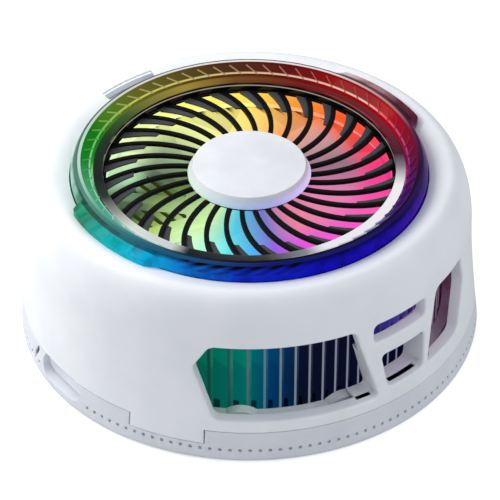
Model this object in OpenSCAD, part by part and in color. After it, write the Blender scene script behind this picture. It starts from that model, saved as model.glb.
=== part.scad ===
// Magnetic phone cooling fan, millimetres, +Z up, origin under the middle of the contact pad.
// Angles called az are measured from the front (-Y) towards +X.

/* [Case] */
// Widest diameter, low on the base tray
case_d = 66; // [60:0.5:72]
// How far the wall leans in from the widest circle to the shoulder
waist_in = 1.55; // [1.2:0.05:1.8]
// Width of the round shoulder, from the wall to the crown
shoulder_w = 3.5; // [3.2:0.1:3.8]
// Thickness of the shell wall
wall_t = 1.75; // [1.5:0.05:2]
// Depth of the pillars and window frame in the middle of a vent group
frame_t = 3; // [2:0.1:3.4]
// Distance from the widest circle in to the bore of the shell's spigot
spigot_in = 3.3; // [3.1:0.1:3.5]
// Height of the seam between base tray and shell
seam_z = 4.9; // [4.7:0.1:5.2]
// Radial thickness of the spigot that locates the shell in the tray
spigot_t = 1; // [0.8:0.1:1.2]
// Height of the crown above the floor of the ring well
crown_rise = 3.4; // [3:0.1:4]
// Fall of the top from the crown to the edge of the ring well
crown_dip = 0.9; // [0.6:0.1:1.2]
// Width of the crown, from its highest circle in to the ring well
crown_w = 2.75; // [2.5:0.05:3]
// Step from the bezel's bore out to the air intake in the floor of the ring well
intake_step = 0.3; // [0.2:0.05:0.5]
// Thickness of the floor of the ring well
well_floor_t = 1.2; // [1:0.1:1.5]
// Thickness of the tray's floor
floor_t = 1; // [0.8:0.1:1.4]
// Height of the tray's floor above the contact face
floor_lift = 0.2; // [0.1:0.05:0.4]
// Side of one square pit in the row around the tray
pit_w = 0.48; // [0.3:0.02:0.7]
// Depth of the pits
pit_depth = 0.4; // [0.2:0.05:0.6]
// Number of pit places around the tray
pit_count = 150; // [90:10:180]
// Height of the row of pits
pit_z = 2.1; // [1.8:0.1:2.3]
// Lower edge of the shell's tab beside the port
tab_z = 2.9; // [2.7:0.1:3.6]

/* [Vents] */
// Height of the vents
vent_h = 12.1; // [10:0.1:12.2]
// Height of the sill above the seam
sill_rise = 1.7; // [1.4:0.1:2.2]
// Radius of the vents' corners
vent_corner_r = 0.8; // [0.4:0.1:1]
// Height of the upper slot between the pillars
slot_h = 3; // [2.4:0.1:3.4]
// Height of the bar between the upper slot and the small window
bar_h = 2.5; // [2:0.1:3.4]

/* [Cooler] */
// Thickness of the soft contact pad
pad_t = 0.5; // [0.4:0.05:0.8]
// Width of the cold plate's flange around the contact pad
flange_w = 2.4; // [2.2:0.1:3]
// Thickness of the cold plate's flange
plate_t = 1; // [0.8:0.1:1.4]
// Distance from the edge of the cold plate in to the square cooler ceramics
ceramic_in = 7; // [6.8:0.1:8]
// Thickness of each ceramic
ceramic_t = 0.6; // [0.5:0.1:0.8]
// Height of the semiconductor legs
leg_h = 1.8; // [1.6:0.1:2.2]
// Width of one leg
leg_w = 1.4; // [1:0.1:1.8]
// Legs along each side of the cooler
leg_rows = 8; // [6:1:10]
// Diameter of the cooler's two leads
lead_d = 0.9; // [0.7:0.1:1.1]

/* [Magnets] */
// Width of the magnet ring
magnet_w = 3.2; // [2.8:0.1:3.6]
// Room between the magnet ring and the screw bosses
magnet_gap = 0.5; // [0.3:0.1:1]
// Room between the magnet ring and the cold plate
plate_gap = 1; // [0.6:0.1:1.4]
// Thickness of the magnets
magnet_t = 1.6; // [1.2:0.1:1.8]
// Angle taken by one magnet
magnet_angle = 15; // [12:0.5:16]
// Thickness of the steel yoke over the magnets
yoke_plate_t = 0.4; // [0.3:0.05:0.6]

/* [Heat sink] */
// Room between the fins and the spigot's bore
fin_room = 2.3; // [2.1:0.1:3]
// How far the fins stand out past the heat sink's base
fin_over = 1.4; // [1.2:0.1:1.8]
// Thickness of the heat sink's base
sink_base_t = 1.2; // [1:0.1:1.6]
// Height of the fins under the fan
low_fin_h = 6; // [5:0.1:7]
// Height of the fins around the fan
fin_h = 12.8; // [11:0.1:13.6]
// Thickness of one fin
fin_t = 0.45; // [0.35:0.05:0.6]
// Pitch of the parallel fins
fin_pitch = 1.8; // [1.6:0.05:2.2]
// Diameter of the solid boss under the motor
boss_d = 17; // [16.8:0.1:18]

/* [Motor and fan] */
// Diameter of the fan shaft
shaft_d = 1.5; // [1.2:0.1:2]
// Radial running clearance of the shaft in its sleeve
run_gap = 0.03; // [0.01:0.01:0.08]
// Outer diameter of the bearing sleeve
sleeve_d = 3.2; // [3:0.1:3.4]
// Wall of the tube that holds the sleeve
tube_wall = 0.78; // [0.6:0.02:0.9]
// Thickness of the motor base
motor_base_t = 0.8; // [0.6:0.1:1]
// Thickness of the motor's circuit board
motor_board_t = 0.6; // [0.4:0.1:0.8]
// Diameter of the fan hub
hub_d = 17.8; // [17.4:0.1:18.4]
// Thickness of the hub's side wall
hub_wall = 0.88; // [0.7:0.02:1]
// Height of the fan hub
rotor_h = 7.6; // [7.2:0.1:8.2]
// Gap between the blade tips and the air intake
tip_gap = 0.6; // [0.4:0.1:0.9]
// Number of blades
blade_count = 11; // [7:1:13]
// Thickness of a blade
blade_t = 0.9; // [0.7:0.1:1.1]
// Angle of the blades to the plane of rotation
blade_pitch = 32; // [28:1:38]
// Thickness of the rotor's magnet ring
rotor_magnet_t = 0.9; // [0.7:0.1:1]
// Height of the stator's iron core
stator_h = 3.4; // [3:0.1:3.8]
// Air gap between stator and rotor magnet
air_gap = 0.4; // [0.3:0.05:0.6]
// Number of stator poles
pole_count = 4; // [3:1:4]

/* [Light ring and grille] */
// Gap between the light ring and the edge of its well
ring_gap = 0.2; // [0.1:0.05:0.3]
// How far the light ring's outer face leans in at its top
ring_lean = 0.6; // [0.5:0.05:0.8]
// Width of the light ring's flat top
ring_top_w = 0.9; // [0.8:0.05:1.1]
// Width of the light ring's inner slope
ring_fall = 1.45; // [1.4:0.05:1.6]
// Height of the light ring above the floor of the ring well
ring_rise = 4.9; // [4.7:0.1:5.3]
// Reach of the ring's two skirted lugs over the crown
lug_reach = 1.5; // [1:0.1:1.9]
// Half angle of a lug
lug_half = 20; // [12:1:26]
// Number of slanted ribs in the liner
rib_count = 60; // [40:2:72]
// Thickness of the light board
led_board_t = 0.6; // [0.4:0.1:0.8]
// Number of lights
led_count = 12; // [8:1:16]
// Width of one light
led_w = 1.6; // [1.2:0.1:1.8]
// Number of grille vanes
vane_count = 30; // [20:1:36]
// Thickness of a vane
vane_t = 0.7; // [0.5:0.05:1]
// Height of the vanes
vane_h = 0.5; // [0.4:0.1:0.8]
// Length of the plates beside the vanes
plate_l = 4.25; // [3:0.05:6]
// Width of those plates at the rim
plate_w = 1.2; // [0.8:0.1:1.8]
// Gap between the bezel and the light ring
bezel_gap = 0.2; // [0.15:0.05:0.4]
// Width of the bezel
bezel_w = 1.35; // [1.1:0.05:1.5]
// Diameter of the hub cap
cap_d = 17.3; // [16.8:0.1:18]
// Thickness of the hub cap
cap_h = 1.6; // [1.2:0.1:2]

/* [Port and boards] */
// Direction of the USB-C port
port_az = -95; // [-100:1:-90]
// Width of the socket shell
usb_w = 8.94; // [8.8:0.02:9]
// Height of the socket shell
usb_h = 3.16; // [3:0.02:3.2]
// Depth of the socket
usb_l = 7.3; // [6.5:0.1:7.4]
// Sheet thickness of the socket shell
usb_t = 0.3; // [0.2:0.05:0.35]
// Room around the socket in the case's opening
usb_room = 0.25; // [0.15:0.05:0.35]
// Thickness of the control board
board_t = 0.8; // [0.6:0.1:1]
// Room between the control board and the screw bosses beside it
board_room = 0.4; // [0.3:0.1:1]
// Diameter of the case screws' shanks
case_screw_d = 1.2; // [1:0.1:1.6]
// Diameter of the screw bosses in the shell
screw_boss_d = 3.4; // [3:0.1:3.6]

/* [Hidden] */
$fn = 96;
fit_gap = 0.02;
part_gap = 0.1;
merge = 0.2;
through = 2;

// Levels of the stack, from the contact face up
floor_z = floor_lift + floor_t;
plate_z = floor_z + plate_t;
cold_z = plate_z + ceramic_t;
legs_z = cold_z + leg_h;
hot_z = legs_z + ceramic_t;
sink_z = hot_z + sink_base_t;
motor_z = sink_z + low_fin_h;
motor_base_z = motor_z + motor_base_t;
motor_board_z = motor_base_z + motor_board_t;
rotor_gap = 0.4;
rotor_z = motor_board_z + rotor_gap;
rotor_top_z = rotor_z + rotor_h;
fins_top_z = sink_z + fin_h;
fin_foot_gap = 0.4;
fin_foot_z = floor_z + magnet_t + yoke_plate_t + fin_foot_gap;
fan_headroom = 0.9;
well_z = rotor_top_z + fan_headroom;
crown_z = well_z + crown_rise;
rim_z = crown_z - crown_dip;
ring_top_z = well_z + ring_rise;

// Radii that several pieces share
case_r = case_d / 2;
waist_r = case_r - waist_in;
crown_r = waist_r - shoulder_w;
well_r = crown_r - crown_w;
ring_r = well_r - ring_gap;
ring_top_r = ring_r - ring_lean;
ring_bore_r = ring_top_r - ring_top_w;
ring_foot_r = ring_bore_r - ring_fall;
lug_r = ring_r + lug_reach;
bezel_r1 = ring_foot_r - bezel_gap;
bezel_r0 = bezel_r1 - bezel_w;
intake_r = bezel_r0 + intake_step;
fan_r = intake_r - tip_gap;
spigot_bore_r = case_r - spigot_in;
spigot_r = spigot_bore_r + spigot_t;
fins_r = spigot_bore_r - fin_room;
sink_r = fins_r - fin_over;
screw_boss_r = screw_boss_d / 2;
boss_inset = 1.3;
boss_r = spigot_bore_r - boss_inset;
magnet_r1 = boss_r - screw_boss_r - magnet_gap;
magnet_r0 = magnet_r1 - magnet_w;
plate_r = magnet_r0 - plate_gap;
pad_r = plate_r - flange_w;
pad_hole_r = pad_r + part_gap * 4;
ceramic_w = 2 * (plate_r - ceramic_in);
tray_bore_r = spigot_r + merge;
shaft_r = shaft_d / 2;
sleeve_r = sleeve_d / 2;
tube_r = sleeve_r + fit_gap + tube_wall;
hub_r = hub_d / 2;
yoke_t = 0.4;
yoke_r = hub_r - hub_wall - fit_gap;
rotor_magnet_r = yoke_r - yoke_t - fit_gap;
stator_r = rotor_magnet_r - rotor_magnet_t - air_gap;
fan_well_gap = 1;

// Outer wall: a swept line from the widest circle up to the shoulder, then an ellipse to the crown
wide_rise = 0.8;
wide_z = floor_lift + wide_rise;
shoulder_drop = 4.7;
shoulder_z = well_z - shoulder_drop;
wall_power = 1.4;
foot_chamfer = 0.4;
wall_steps = 6;
crown_steps = 12;
dip_steps = 4;
function wall_share(z) = pow((shoulder_z - z) / (shoulder_z - wide_z), wall_power);
function wall_r(z) = waist_r + (case_r - waist_r) * wall_share(z);
function wall_line(z0, z1) =
    [for (i = [0 : wall_steps]) let (z = z0 + (z1 - z0) * i / wall_steps) [wall_r(z), z]];
shoulder_arc = [for (i = [1 : crown_steps]) let (a = 90 * i / crown_steps)
    [crown_r + (waist_r - crown_r) * cos(a), shoulder_z + (crown_z - shoulder_z) * sin(a)]];
ledge_drop = 1;
sill_z = seam_z + sill_rise;
ledge_z = sill_z - ledge_drop;
inner_wall = [for (i = [wall_steps : -1 : 0]) let (z = ledge_z + (shoulder_z - ledge_z) * i / wall_steps)
    [wall_r(z) - wall_t, z]];
crown_fall = [for (i = [1 : dip_steps]) let (s = i / dip_steps)
    [crown_r + (well_r - crown_r) * s, crown_z - crown_dip * pow(s, wall_power)]];

// Hollow under the crown
hollow_in = 1.4;
hollow_out = 2.2;
hollow_rise = 1.3;
hollow_z = well_z + hollow_rise;

// Vents, as [az, height above the sill] corners of their left end, going up, and right end, going down
vent_face_r = (wall_r(sill_z) + waist_r) / 2;
sill_slack = 0.1;
window_sill = 0.9;
wide_left = [[-49.8, sill_slack], [-55.2, 8.3], [-50.8, vent_h]];
wide_right = [[-14, vent_h], [-7.5, sill_slack]];
narrow_left = [[8.9, window_sill], [13.8, vent_h]];
narrow_right = [[27.4, vent_h], [30.2, 7.4], [24, window_sill]];
slot_left = [[-8.6, vent_h - slot_h], [-8.6, vent_h]];
slot_right = [[8.8, vent_h], [8.8, vent_h - slot_h]];
window_top = vent_h - slot_h - bar_h;
window_left = [[-4.6, window_sill], [-6.4, window_top]];
window_right = [[8.3, window_top], [7.3, window_sill]];
corner_over = 0.05;
frame_az = [-13, 12];
frame_over = 1;
frame_under = 0.3;
frame_z = sill_z - frame_under;
frame_top_z = sill_z + window_top + frame_over;
two_sides = [0, 180];

// Stepped seam and screws
tab_az = [-71, -52];
tab_gap_angle = 0.3;
boss_azimuths = [68, 118, -68, -118];
boss_l = 6.8;
boss_top_z = floor_z + boss_l;
screw_head_r = case_screw_d / 2 + 0.7;
screw_head_h = 0.5;
case_screw_l = 5;
clamp_screw_r = 0.8;
clamp_head_r = 1.5;
clamp_head_h = 0.9;
clamp_circle_r = (ceramic_w / 2 + plate_r) / 2;
quarter_turns = [0 : 90 : 270];

// Port and boards
port_rise = 2.2;
port_z = floor_z + port_rise;
mouth_depth = 1.3;
usb_mouth_r = wall_r(port_z) - mouth_depth;
pit_skip = 9;
board_gap = 0.4;
board_r0 = plate_r + board_gap;
board_r1 = spigot_bore_r - board_gap;
port_boss_angle = min([for (az = boss_azimuths) abs(az - port_az)]);
board_half = port_boss_angle - asin((screw_boss_r + board_room) / boss_r);
keep_out_over = 1;
keep_out_half = port_boss_angle + keep_out_over;
port_half = 13;
indicator_az = -107;
indicator_z = port_z + 0.1;
indicator_w = 0.7;
indicator_l = 2.3;
indicator_lean = 63;

// Collar behind the sills, cut by hand along its upper edge
collar_gap = 0.4;
collar_r0 = fins_r + collar_gap;
collar_r1 = spigot_bore_r - collar_gap;
collar_drop = 1.4;
collar_top_z = sill_z - collar_drop;
collar_lumps = 25;
collar_lump_r = 3;
collar_lump_h = 0.4;
collar_lump_vary = 0.6;
golden_turn = 137.5;

// Parts of the ring well
led_shift = 0.25;
led_circle_r = (well_r + ring_foot_r) / 2 - led_shift;
led_h = 0.8;
led_z = well_z + led_board_t;
led_groove_w = led_w + 0.4;
led_groove_z = led_z + led_h + 0.4;
ring_wall_z = rim_z + 0.1;
ring_slope_h = 1.4;
ring_lip = 0.25;
ring_edge = 0.2;
liner_t = 0.5;
liner_h = 1;
liner_ledge_z = ring_top_z - ring_lip - liner_h;
liner_r = ring_bore_r;
liner_drop_r = ring_fall - part_gap;
liner_gap = 0.05;
lug_edge_h = 0.75;
lug_blend = 6;
lug_steps = 24;
grille_ring_t = 0.45;
grille_ring_h = 1.77;
grille_rise = 2.1;
vane_top_z = well_z + grille_rise;
vane_z = vane_top_z - vane_h;
grille_ring_z = well_z + grille_ring_h;
bezel_rise = 3.57;
bezel_top_z = well_z + bezel_rise;
bezel_chamfer = 0.25;
cap_over = 0.4;
grille_hub_r = cap_d / 2 - cap_over;
cap_bevel = 0.75;
cap_edge = 0.2;
bar_half = 9.5;
bar_in = 0.3;
bar_w = 1.4;
bar_r1 = crown_r - bar_in;
bar_r0 = bar_r1 - bar_w;
bar_depth = 0.7;
bar_sink = 0.25;

// Vanes sweep round as they go out; the sweep is in degrees at radius r
sweep_rate = 1.64;
sweep_curve = 0.05;
sweep_mid_r = 14.8;
sweep_phase = 0.3;
vane_steps = 9;
vane_r0 = grille_hub_r - merge;
vane_r1 = bezel_r0 - part_gap / 2;
side_plate_r = vane_r1 - plate_l;
plate_taper = 0.45;
function sweep(r) = sweep_phase + sweep_rate * (r - sweep_mid_r) + sweep_curve * pow(r - sweep_mid_r, 2);
function sweep_slope(r) = r * (sweep_rate + 2 * sweep_curve * (r - sweep_mid_r)) * PI / 180;
function wide_angle(r, w) = w / r * sqrt(1 + pow(sweep_slope(r), 2)) * 180 / PI;
function plate_reach(r) = vane_t + plate_w * (1 - plate_taper * (vane_r1 - r) / plate_l);

// Motor stack
stator_z = rotor_z + 0.8;
core_wall = 0.9;
shoe_t = 0.8;
shoe_half = 32;
arm_w = 1.6;
coil_w = 3.2;
coil_over = 0.7;
hub_top_t = 1;
yoke_top_z = rotor_top_z - hub_top_t;
tube_drop = 2.2;
sleeve_drop = 0.2;
shaft_drop = 0.6;

// Shared shapes

function unit(v) = v / norm(v);

// Corners of an outline rounded to radius r
function rounded(pts, r, steps = 5) = [
    for (i = [0 : len(pts) - 1])
        let (
            p = pts[i],
            u = unit(pts[(i + len(pts) - 1) % len(pts)] - p),
            v = unit(pts[(i + 1) % len(pts)] - p),
            half = acos(u * v) / 2,
            middle = p + unit(u + v) * r / sin(half),
            start = p + u * r / tan(half) - middle,
            finish = p + v * r / tan(half) - middle,
            a0 = atan2(start[1], start[0]),
            turn = atan2(start[0] * finish[1] - start[1] * finish[0], start * finish)
        )
        for (k = [0 : steps]) middle + r * [cos(a0 + turn * k / steps), sin(a0 + turn * k / steps)]
];

function polar(r, a) = [r * cos(a), r * sin(a)];

function radii(r0, r1) = [for (i = [0 : vane_steps]) r0 + (r1 - r0) * i / vane_steps];

function reversed(list) = [for (i = [len(list) - 1 : -1 : 0]) list[i]];

function band(r0, r1, z0, z1) = [[r0, z0], [r1, z0], [r1, z1], [r0, z1]];

module ring(r0, r1, z0, z1) rotate_extrude() polygon(band(r0, r1, z0, z1));

module sector(az0, az1, pts) rotate([0, 0, az0 - 90]) rotate_extrude(angle = az1 - az0) polygon(pts);

module disc(r, z0, z1) translate([0, 0, z0]) cylinder(r = r, h = z1 - z0);

// Upright outline pushed out along az, from radius r0 to r1
module outward(az, r0, r1) rotate([0, 0, az]) rotate([90, 0, 0])
    translate([0, 0, r0]) linear_extrude(r1 - r0) children();

// Flat bar with round ends, drawn upright
module slot_shape(w, h) {
    square([w - h, h], center = true);
    for (side = [-1, 1]) translate([side * (w - h) / 2, 0]) circle(d = h);
}

module port_cut(r0, r1) outward(port_az, r0, r1) translate([0, port_z])
    slot_shape(usb_w + 2 * usb_room, usb_h + 2 * usb_room);

// Mean direction of a vent's end, along which its sides are cut
function end_az(corners) = (min([for (c = corners) c[0]]) + max([for (c = corners) c[0]])) / 2;

// Corners as seen along az, with the first and last moved up or down by over
function facing(corners, az, over = 0) = [for (i = [0 : len(corners) - 1]) let (c = corners[i]) [
    vent_face_r * sin(c[0] - az), sill_z + c[1] + (i == 0 ? over : i == len(corners) - 1 ? -over : 0)
]];

// Vent through the wall, with each end cut along its own direction
module vent_cut(left, right) {
    left_az = end_az(left);
    right_az = end_az(right);
    bottom = sill_z + left[0][1];
    top = sill_z + right[0][1];
    intersection() {
        outward(left_az, 0, case_d) polygon(rounded(concat(
            [[case_d, top], [case_d, bottom]], facing(left, left_az)), vent_corner_r));
        outward(right_az, 0, case_d) polygon(rounded(concat(
            facing(right, right_az, corner_over),
            [[-case_d, bottom - corner_over], [-case_d, top + corner_over]]), vent_corner_r));
    }
}

module vent_group() {
    vent_cut(wide_left, wide_right);
    vent_cut(narrow_left, narrow_right);
    vent_cut(slot_left, slot_right);
    vent_cut(window_left, window_right);
}

module at_bosses() for (az = boss_azimuths) rotate([0, 0, az]) translate([0, -boss_r, 0]) children();

module at_clamps() for (a = quarter_turns) rotate([0, 0, a]) translate([clamp_circle_r, 0, 0]) children();

module indicator_shape(spare) translate([0, indicator_z]) rotate(indicator_lean)
    slot_shape(indicator_l + spare, indicator_w + spare);

// Base

module base_tray() color("white") difference() {
    rotate_extrude() polygon(concat(
        [[pad_hole_r, floor_lift], [case_r - foot_chamfer, floor_lift]],
        wall_line(wide_z, seam_z),
        [[tray_bore_r, seam_z], [tray_bore_r, floor_z], [pad_hole_r, floor_z]]
    ));
    for (i = [0 : pit_count - 1]) {
        az = i * 360 / pit_count - 180;
        if (abs(az - port_az) > pit_skip)
            outward(az, wall_r(pit_z) - pit_depth, case_r + through)
                translate([0, pit_z]) square(pit_w, center = true);
    }
    for (a = two_sides) rotate([0, 0, a])
        sector(tab_az[0] - tab_gap_angle, tab_az[1] + tab_gap_angle,
            band(tray_bore_r - merge / 2, case_r + through, tab_z - part_gap, seam_z + through));
    port_cut(usb_mouth_r - usb_l, case_r + through);
    outward(indicator_az, spigot_r, case_r + through) indicator_shape(0);
    at_bosses() {
        disc(case_screw_d / 2 + part_gap, 0, floor_z + through);
        disc(screw_head_r + part_gap, 0, floor_lift + screw_head_h + part_gap);
    }
}

module contact_pad() color("gainsboro") disc(pad_r, 0, pad_t);

module cold_plate() color("silver") difference() {
    union() {
        disc(pad_r, pad_t, floor_z + merge);
        disc(plate_r, floor_z, plate_z);
    }
    at_clamps() {
        disc(clamp_screw_r + part_gap, 0, plate_z + through);
        disc(clamp_head_r + part_gap, 0, pad_t + clamp_head_h);
    }
}

module magnet_segments() color("dimgray")
    for (az = [port_az + keep_out_half : magnet_angle + 1 : port_az + 360 - keep_out_half - magnet_angle])
        sector(az, az + magnet_angle, band(magnet_r0, magnet_r1, floor_z, floor_z + magnet_t));

module magnet_yoke() color("slategray")
    sector(port_az + keep_out_half, port_az + 360 - keep_out_half,
        band(magnet_r0, magnet_r1, floor_z + magnet_t, floor_z + magnet_t + yoke_plate_t));

module ceramic_tile(z) translate([-ceramic_w / 2, -ceramic_w / 2, z])
    cube([ceramic_w, ceramic_w, ceramic_t]);

module cold_ceramic() color("white") ceramic_tile(plate_z);

module hot_ceramic() color("white") ceramic_tile(legs_z);

module cooler_legs() color("darkgray") {
    step = ceramic_w / leg_rows;
    first = (step - ceramic_w - leg_w) / 2;
    for (i = [0 : leg_rows - 1], j = [0 : leg_rows - 1])
        translate([first + i * step, first + j * step, cold_z]) cube([leg_w, leg_w, leg_h]);
}

// Two leads run from the cooler's edge to the control board
module cooler_leads() color("firebrick") {
    lead_z = cold_z + leg_h / 2;
    lead_r0 = ceramic_w / 2 + part_gap;
    lead_over = 1;
    lead_r1 = board_r0 + lead_over;
    lead_spread = 6;
    for (x = [-lead_spread, lead_spread]) rotate([0, 0, port_az]) translate([x, -lead_r1, 0]) {
        translate([0, 0, lead_z]) rotate([-90, 0, 0]) cylinder(d = lead_d, h = lead_r1 - lead_r0);
        translate([0, 0, lead_z]) sphere(d = lead_d);
        disc(lead_d / 2, floor_z + board_t, lead_z);
    }
}

module clamp_screws() color("silver") at_clamps() {
    disc(clamp_head_r, pad_t, pad_t + clamp_head_h - part_gap);
    disc(clamp_screw_r, pad_t, sink_z - merge * 2);
}

// Heat sink: parallel fins from front to back, cut low under the fan

module heat_sink() color("silver") difference() {
    foot_r = sink_r + merge;
    fan_well_r = fan_r + fan_well_gap;
    half_count = floor((sink_r - fin_t) / fin_pitch);
    union() {
        disc(sink_r, hot_z, sink_z);
        disc(boss_d / 2, hot_z, motor_z);
        intersection() {
            rotate_extrude() polygon([
                [0, hot_z], [foot_r, hot_z], [foot_r, fin_foot_z], [fins_r, fin_foot_z],
                [fins_r, fins_top_z], [fan_well_r, fins_top_z], [fan_well_r, motor_z], [0, motor_z]
            ]);
            for (i = [-half_count : half_count])
                translate([i * fin_pitch - fin_t / 2, -fins_r, floor_z])
                    cube([fin_t, 2 * fins_r, fins_top_z]);
        }
    }
    at_clamps() disc(clamp_screw_r + part_gap, 0, sink_z - merge);
    at_bosses() disc(screw_boss_r + merge * 2, 0, boss_top_z + merge * 2);
    sector(port_az - port_half, port_az + port_half, band(foot_r, fins_r + through, 0, hot_z + part_gap));
}

module insulation_collar() color("white") difference() {
    intersection() {
        ring(collar_r0, collar_r1, floor_z, fins_top_z);
        union() {
            disc(collar_r1 + through, floor_z, collar_top_z);
            for (i = [0 : collar_lumps - 1])
                outward(i * 360 / collar_lumps, collar_r0 - through, collar_r1 + through)
                    translate([0, collar_top_z - collar_lump_r + collar_lump_h])
                        circle(r = collar_lump_r + collar_lump_vary * sin(i * golden_turn));
        }
    }
    at_bosses() disc(screw_boss_r + merge, 0, fins_top_z);
    sector(port_az - keep_out_half, port_az + keep_out_half, band(collar_r0 - 1, collar_r1 + 1, 0, hot_z));
}

// Boards and port

module control_board() color("darkgreen") difference() {
    sector(port_az - board_half, port_az + board_half,
        band(board_r0, board_r1, floor_z, floor_z + board_t));
    rotate([0, 0, port_az]) translate([-usb_w / 2 - usb_room, -usb_mouth_r, 0])
        cube([usb_w + 2 * usb_room, usb_l + part_gap, plate_z + through]);
}

module board_parts() color("black") {
    chip_w = 2.4;
    chip_h = 0.9;
    chip_x = usb_w / 2 + usb_room + board_gap + chip_w / 2;
    for (side = [-1, 1]) rotate([0, 0, port_az])
        translate([side * chip_x - chip_w / 2, -(board_r0 + board_r1 + chip_w) / 2, floor_z + board_t])
            cube([chip_w, chip_w, chip_h]);
}

module usb_shell() color("lightgray") outward(port_az, usb_mouth_r - usb_l, usb_mouth_r)
    translate([0, port_z]) difference() {
        slot_shape(usb_w, usb_h);
        slot_shape(usb_w - 2 * usb_t, usb_h - 2 * usb_t);
    }

module usb_tongue() color("black") {
    tongue_w = 6.7;
    tongue_t = 0.7;
    tongue_l = 5;
    outward(port_az, usb_mouth_r - usb_l, usb_mouth_r - usb_l + 1) translate([0, port_z])
        slot_shape(usb_w - 2 * usb_t - 2 * fit_gap, usb_h - 2 * usb_t - 2 * fit_gap);
    outward(port_az, usb_mouth_r - usb_l, usb_mouth_r - usb_l + 1 + tongue_l) translate([0, port_z])
        square([tongue_w, tongue_t], center = true);
}

module indicator_lens() color("gray")
    outward(indicator_az, spigot_r + merge, wall_r(indicator_z) - merge) indicator_shape(-fit_gap * 2);

// Shell

module outer_shell() color("white") difference() {
    union() {
        rotate_extrude() polygon(concat(
            [[spigot_bore_r, floor_z + part_gap], [spigot_r, floor_z + part_gap]],
            [[spigot_r, seam_z + part_gap]],
            wall_line(seam_z + part_gap, shoulder_z),
            shoulder_arc,
            crown_fall,
            [[well_r, well_z], [intake_r, well_z], [intake_r, well_z - well_floor_t]],
            [[well_r + hollow_in, well_z - well_floor_t], [well_r + hollow_in, hollow_z]],
            [[well_r + hollow_out, hollow_z]],
            inner_wall,
            [[spigot_bore_r, ledge_z]]
        ));
        for (a = two_sides) rotate([0, 0, a]) {
            sector(tab_az[0], tab_az[1], concat(
                [[spigot_r - merge, tab_z]],
                wall_line(tab_z, seam_z + merge),
                [[spigot_r - merge, seam_z + merge]]
            ));
            sector(frame_az[0], frame_az[1],
                band(waist_r - frame_t, case_r - wall_t, frame_z, frame_top_z));
        }
        at_bosses() disc(screw_boss_r, floor_z + part_gap, boss_top_z);
    }
    for (a = two_sides) rotate([0, 0, a]) vent_group();
    at_bosses() disc(case_screw_d / 2 + fit_gap, 0, floor_z + case_screw_l);
    port_cut(usb_mouth_r - usb_l, case_r + through);
    outward(indicator_az, spigot_bore_r - through, spigot_r + part_gap) indicator_shape(merge);
    sector(180 - bar_half, 180 + bar_half, band(bar_r0, bar_r1, crown_z - bar_depth, crown_z + through));
}

module status_bar() color("darkgray") {
    spare = 0.15;
    sector(180 - bar_half + spare, 180 + bar_half - spare,
        band(bar_r0 + fit_gap, bar_r1 - fit_gap, crown_z - bar_depth, crown_z - bar_sink));
}

module case_screws() color("silver") at_bosses() {
    disc(screw_head_r, floor_lift + part_gap, floor_lift + screw_head_h);
    disc(case_screw_d / 2, floor_lift + part_gap, floor_z + case_screw_l - part_gap);
}

// Motor

module motor_base() color("dimgray") difference() {
    union() {
        disc(hub_r - hub_wall, motor_z, motor_base_z);
        disc(tube_r, motor_z, rotor_top_z - tube_drop);
    }
    disc(sleeve_r + fit_gap, motor_base_z, rotor_top_z);
}

module bearing_sleeve() color("goldenrod")
    ring(shaft_r + run_gap, sleeve_r, motor_base_z, rotor_top_z - tube_drop - sleeve_drop);

module motor_shaft() color("silver") disc(shaft_r, motor_base_z + part_gap, rotor_top_z - shaft_drop);

module motor_board() color("darkgreen")
    ring(tube_r + part_gap, hub_r - hub_wall, motor_base_z, motor_board_z);

module stator_core() color("slategray") {
    ring(tube_r + fit_gap, tube_r + core_wall, stator_z, stator_z + stator_h);
    for (i = [0 : pole_count - 1]) rotate([0, 0, i * 360 / pole_count]) {
        translate([-arm_w / 2, -(stator_r - shoe_t / 2), stator_z])
            cube([arm_w, stator_r - shoe_t / 2 - tube_r - core_wall / 2, stator_h]);
        sector(-shoe_half, shoe_half, band(stator_r - shoe_t, stator_r, stator_z, stator_z + stator_h));
    }
}

module motor_coils() color("peru") for (i = [0 : pole_count - 1]) rotate([0, 0, i * 360 / pole_count]) {
    coil_r0 = tube_r + core_wall + part_gap * 3;
    coil_r1 = sqrt(pow(stator_r - shoe_t, 2) - pow(coil_w / 2, 2)) - part_gap;
    difference() {
        translate([-coil_w / 2, -coil_r1, stator_z - coil_over])
            cube([coil_w, coil_r1 - coil_r0, stator_h + 2 * coil_over]);
        translate([-arm_w / 2 - fit_gap, -coil_r1 - 1, stator_z - fit_gap])
            cube([arm_w + 2 * fit_gap, coil_r1, stator_h + 2 * fit_gap]);
    }
}

module rotor_magnet() color("black") {
    magnet_over = 0.4;
    ring(rotor_magnet_r - rotor_magnet_t, rotor_magnet_r,
        rotor_z + part_gap * 3, stator_z + stator_h + magnet_over);
}

module rotor_yoke() color("silver") {
    ring(yoke_r - yoke_t, yoke_r, rotor_z + part_gap, yoke_top_z);
    ring(shaft_r + fit_gap, yoke_r, yoke_top_z - yoke_t, yoke_top_z);
}

// Fan: a hub cup with flat blades set at an angle

module fan_impeller() color("ghostwhite") {
    blade_z0 = rotor_z + part_gap * 2;
    blade_z1 = rotor_top_z - part_gap;
    difference() {
        union() {
            disc(hub_r, rotor_z, rotor_top_z);
            for (i = [0 : blade_count - 1]) rotate([0, 0, i * 360 / blade_count]) intersection() {
                ring(hub_r - merge, fan_r, blade_z0, blade_z1);
                translate([0, 0, (blade_z0 + blade_z1) / 2]) rotate([blade_pitch, 0, 0])
                    translate([hub_r / 2, -rotor_h, -blade_t / 2]) cube([fan_r, 2 * rotor_h, blade_t]);
            }
        }
        disc(yoke_r + fit_gap, rotor_z - through, yoke_top_z);
        disc(shaft_r + fit_gap, rotor_z, rotor_top_z - hub_top_t / 2);
    }
}

// Light ring, grille and cap

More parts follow.
